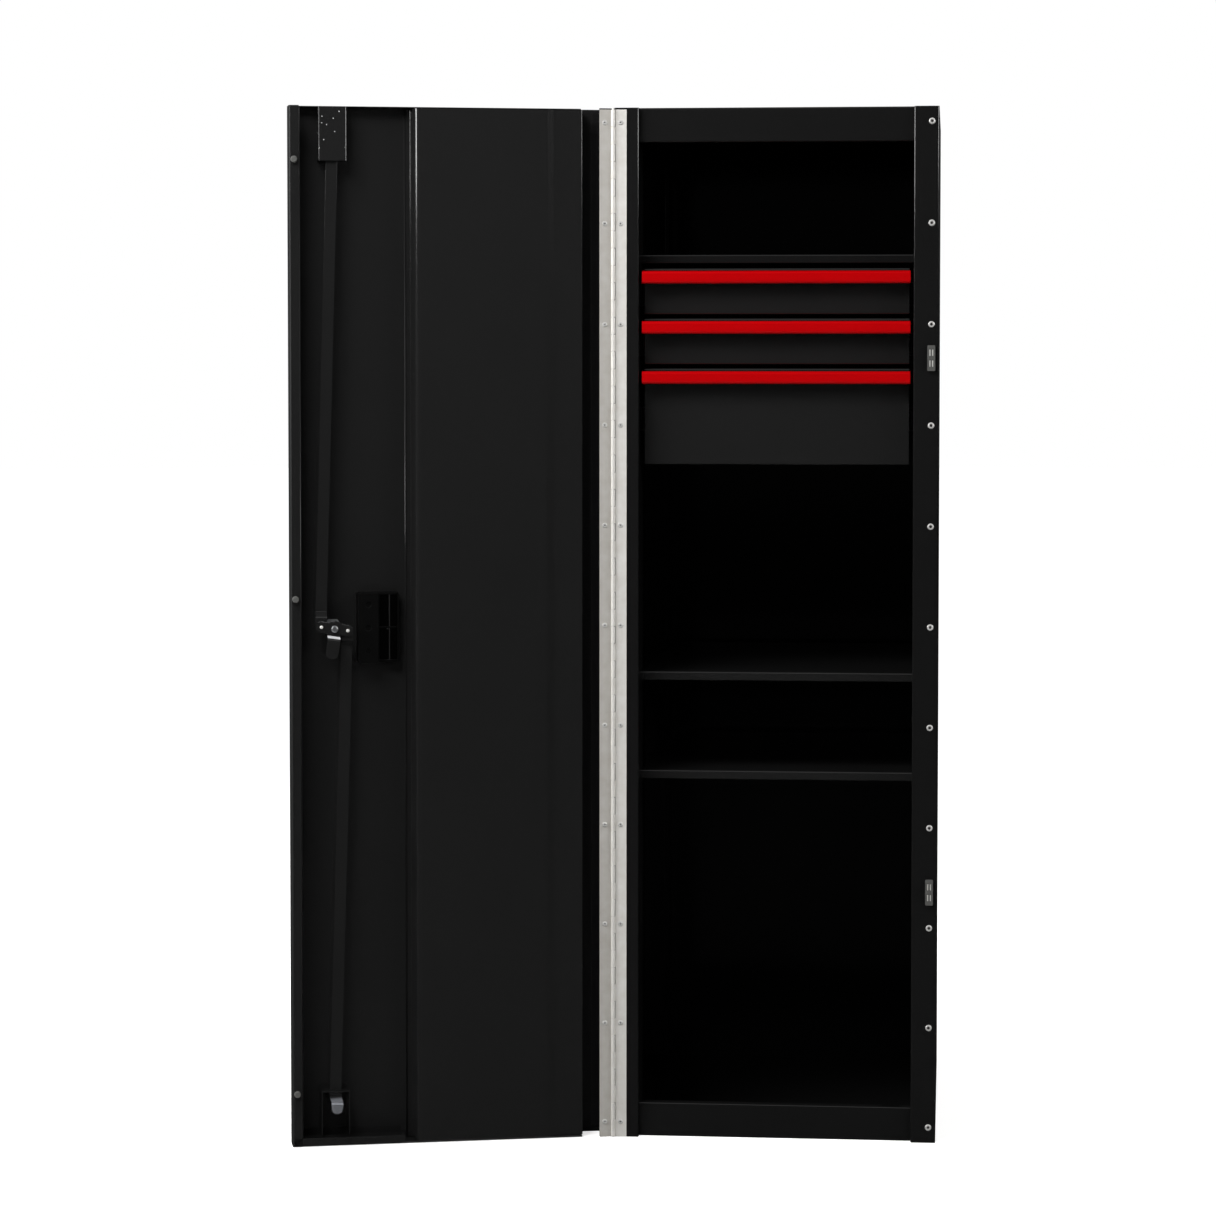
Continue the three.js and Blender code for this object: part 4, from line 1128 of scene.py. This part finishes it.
@dataclass
class Studio:
    """A pale floor, soft lamps high on both sides of the camera and the photograph's view."""

    camera_m: tuple[float, float, float] = (0.2587, -5.6563, 1.1845)
    yaw_deg: float = -5.436
    pitch_deg: float = 2.709
    focal_px: float = 3600
    rise_px: float = 90
    sensor_mm: float = 36
    aim_m: tuple[float, float, float] = (0.0, -0.2, 1.0)
    floor_radius: float = 30
    floor_sides: int = 96
    floor_colour: str = "dededc"
    floor_in_gloss: str = "181818"
    soft_light: float = 0.2
    # Where a change of light starts and ends, and the light at both.
    floor_glow: tuple[float, ...] = (0.8, 4.0, 0.66, 0.95)
    wall_light: tuple[float, ...] = (0.2, 0.9, 0.015, 1.0)
    ceiling_light: tuple[float, ...] = (0.72, 0.97, 1.0, 0.04)

    def camera(self) -> None:
        """Sets the camera where the photograph was taken from."""
        data = bpy.data.cameras.new("camera")
        data.sensor_width = self.sensor_mm
        data.lens = self.focal_px / IMAGE_SIZE * self.sensor_mm
        data.shift_y = -self.rise_px / IMAGE_SIZE
        camera = bpy.data.objects.new("camera", data)
        yaw, pitch = math.radians(self.yaw_deg), math.radians(self.pitch_deg)
        level = math.cos(pitch)
        ahead = Vector((math.sin(yaw) * level, math.cos(yaw) * level, -math.sin(pitch)))
        camera.location = self.camera_m
        camera.rotation_euler = ahead.to_track_quat("-Z", "Y").to_euler()
        bpy.context.scene.collection.objects.link(camera)
        bpy.context.scene.camera = camera

    def lamp(self, name: str, place: Sequence[float], size: tuple[float, float], watts: float,
             in_gloss: bool = True) -> None:
        """Adds a softbox that is turned to the middle of the locker.

        Args:
            name: The lamp's name.
            place: Where it stands.
            size: Its width and height.
            watts: Its power.
            in_gloss: Whether gloss shows it.
        """
        data = bpy.data.lights.new(name, "AREA")
        data.shape = "RECTANGLE"
        data.size, data.size_y = size
        data.energy = watts
        lamp = bpy.data.objects.new(name, data)
        lamp.location = place
        ahead = Vector(self.aim_m) - Vector(place)
        lamp.rotation_euler = ahead.to_track_quat("-Z", "Y").to_euler()
        lamp.visible_glossy = in_gloss
        lamp.visible_camera = False
        bpy.context.scene.collection.objects.link(lamp)

    def lamps(self) -> None:
        """Stands the softboxes high in front and behind, left and right."""
        self.lamp("front_left_softbox", (-3.0, -1.6, 1.95), (1.6, 0.85), 68)
        self.lamp("front_right_softbox", (3.0, -1.6, 1.9), (1.5, 0.6), 43)
        self.lamp("high_softbox", (-1.2, -2.0, 2.9), (1.4, 1.0), 86, in_gloss=False)
        self.lamp("rear_left_softbox", (-2.4, 2.6, 2.5), (1.0, 1.2), 60, in_gloss=False)
        self.lamp("rear_right_softbox", (2.4, 2.6, 2.5), (1.0, 1.2), 60, in_gloss=False)

    def world(self) -> None:
        """Makes the surroundings white to the eye, and to gloss a studio with dim walls."""
        world = bpy.data.worlds.new("studio")
        world.use_nodes = True
        tree = world.node_tree
        tree.nodes.clear()
        ray = add_node(tree, "LightPath")
        way = add_node(tree, "TexCoord").outputs["Generated"]
        height = add_node(tree, "SeparateXYZ", {0: way}).outputs[2]
        graded, above = (
            add_node(tree, "MapRange", {"Value": height, **dict(zip(RANGE, light))},
                     interpolation_type="SMOOTHSTEP")
            for light in (self.wall_light, self.ceiling_light)
        )
        ends = {0: graded.outputs[0], 1: above.outputs[0]}
        shown = add_node(tree, "Math", ends, operation="MULTIPLY")
        soft, walls, white = (
            add_node(tree, "Background", {"Color": linear("ffffff"), "Strength": strength})
            for strength in (self.soft_light, shown.outputs[0], 1.0)
        )
        gloss = add_node(tree, "MixShader", {
            0: ray.outputs["Is Glossy Ray"], 1: soft.outputs[0], 2: walls.outputs[0],
        })
        eye, glass = ray.outputs["Is Camera Ray"], ray.outputs["Is Transmission Ray"]
        seen = add_node(tree, "Math", {0: eye, 1: glass}, operation="MAXIMUM").outputs[0]
        shader = add_node(tree, "MixShader", {0: seen, 1: gloss.outputs[0], 2: white.outputs[0]})
        add_node(tree, "OutputWorld", {"Surface": shader.outputs[0]})
        bpy.context.scene.world = world

    def floor(self) -> None:
        """Lays the floor, white to the eye where nothing shades it."""
        mesh = bmesh.new()
        bmesh.ops.create_circle(mesh, cap_ends=True, segments=self.floor_sides,
                                radius=self.floor_radius)
        data = bpy.data.meshes.new("floor")
        mesh.to_mesh(data)
        mesh.free()
        floor = bpy.data.objects.new("floor", data)
        material = bpy.data.materials.new("pale_floor_paint")
        material.use_nodes = True
        tree = material.node_tree
        tree.nodes.clear()
        ray = add_node(tree, "LightPath")
        place = add_node(tree, "TexCoord").outputs["Object"]
        away = add_node(tree, "VectorMath", {0: place}, operation="LENGTH").outputs["Value"]
        fill = add_node(tree, "MapRange", {"Value": away, **dict(zip(RANGE, self.floor_glow))})
        eye, glass = ray.outputs["Is Camera Ray"], ray.outputs["Is Transmission Ray"]
        seen = add_node(tree, "Math", {0: eye, 1: glass}, operation="MAXIMUM").outputs[0]
        glow = add_node(tree, "Math", {0: seen, 1: fill.outputs[0]}, operation="MULTIPLY")
        tint = add_node(tree, "Mix", {
            Mix.FACTOR: ray.outputs["Is Glossy Ray"],
            Mix.FIRST: linear(self.floor_colour),
            Mix.SECOND: linear(self.floor_in_gloss),
        }, data_type="RGBA")
        paint = add_node(tree, "BsdfDiffuse", {"Color": tint.outputs[Mix.RESULT]})
        white = add_node(tree, "Emission", {
            "Color": linear("ffffff"), "Strength": glow.outputs[0],
        })
        both = add_node(tree, "AddShader", {0: paint.outputs[0], 1: white.outputs[0]})
        add_node(tree, "OutputMaterial", {"Surface": both.outputs[0]})
        data.materials.append(material)
        bpy.context.scene.collection.objects.link(floor)

    def build(self) -> None:
        """Builds the whole studio."""
        bpy.context.scene.view_settings.view_transform = "Standard"
        self.camera()
        self.world()
        self.floor()
        self.lamps()


def finish_of(node: str, slot: str) -> Finish:
    """Picks what a node is finished in.

    Args:
        node: The node's name.
        slot: Its material slot in the record.

    Returns:
        The finish.
    """
    for ending, finish in ENDING_FINISHES.items():
        if node.endswith(ending):
            return finish
    return NODE_FINISHES.get(node, SLOT_FINISHES[slot])


def dress_frame() -> None:
    """Gives every carried-over node its finish and softened edges."""
    sheet = SheetMetal()
    for row in frame["record"]["subparts"]:
        node = row["node"]
        finish = finish_of(node, row["material_slot"])
        finish.dress(frame["nodes"][node])
        sheet.soften(frame["nodes"][node], NODE_EDGES_MM.get(node))
        log.info("%s is dressed in %s", node, finish.name)


def main() -> None:
    """Builds the locker's looks in order."""
    logging.basicConfig(level=logging.INFO, format="%(name)s: %(message)s")
    dress_frame()
    PianoHinge().build()
    RivetRows().build()
    DoorHems().build()
    InnerPanel().build()
    DoorFoot().build()
    PullRibs().build()
    LockFasteners().build()
    Studio().build()


if __name__ == "__main__":
    main()
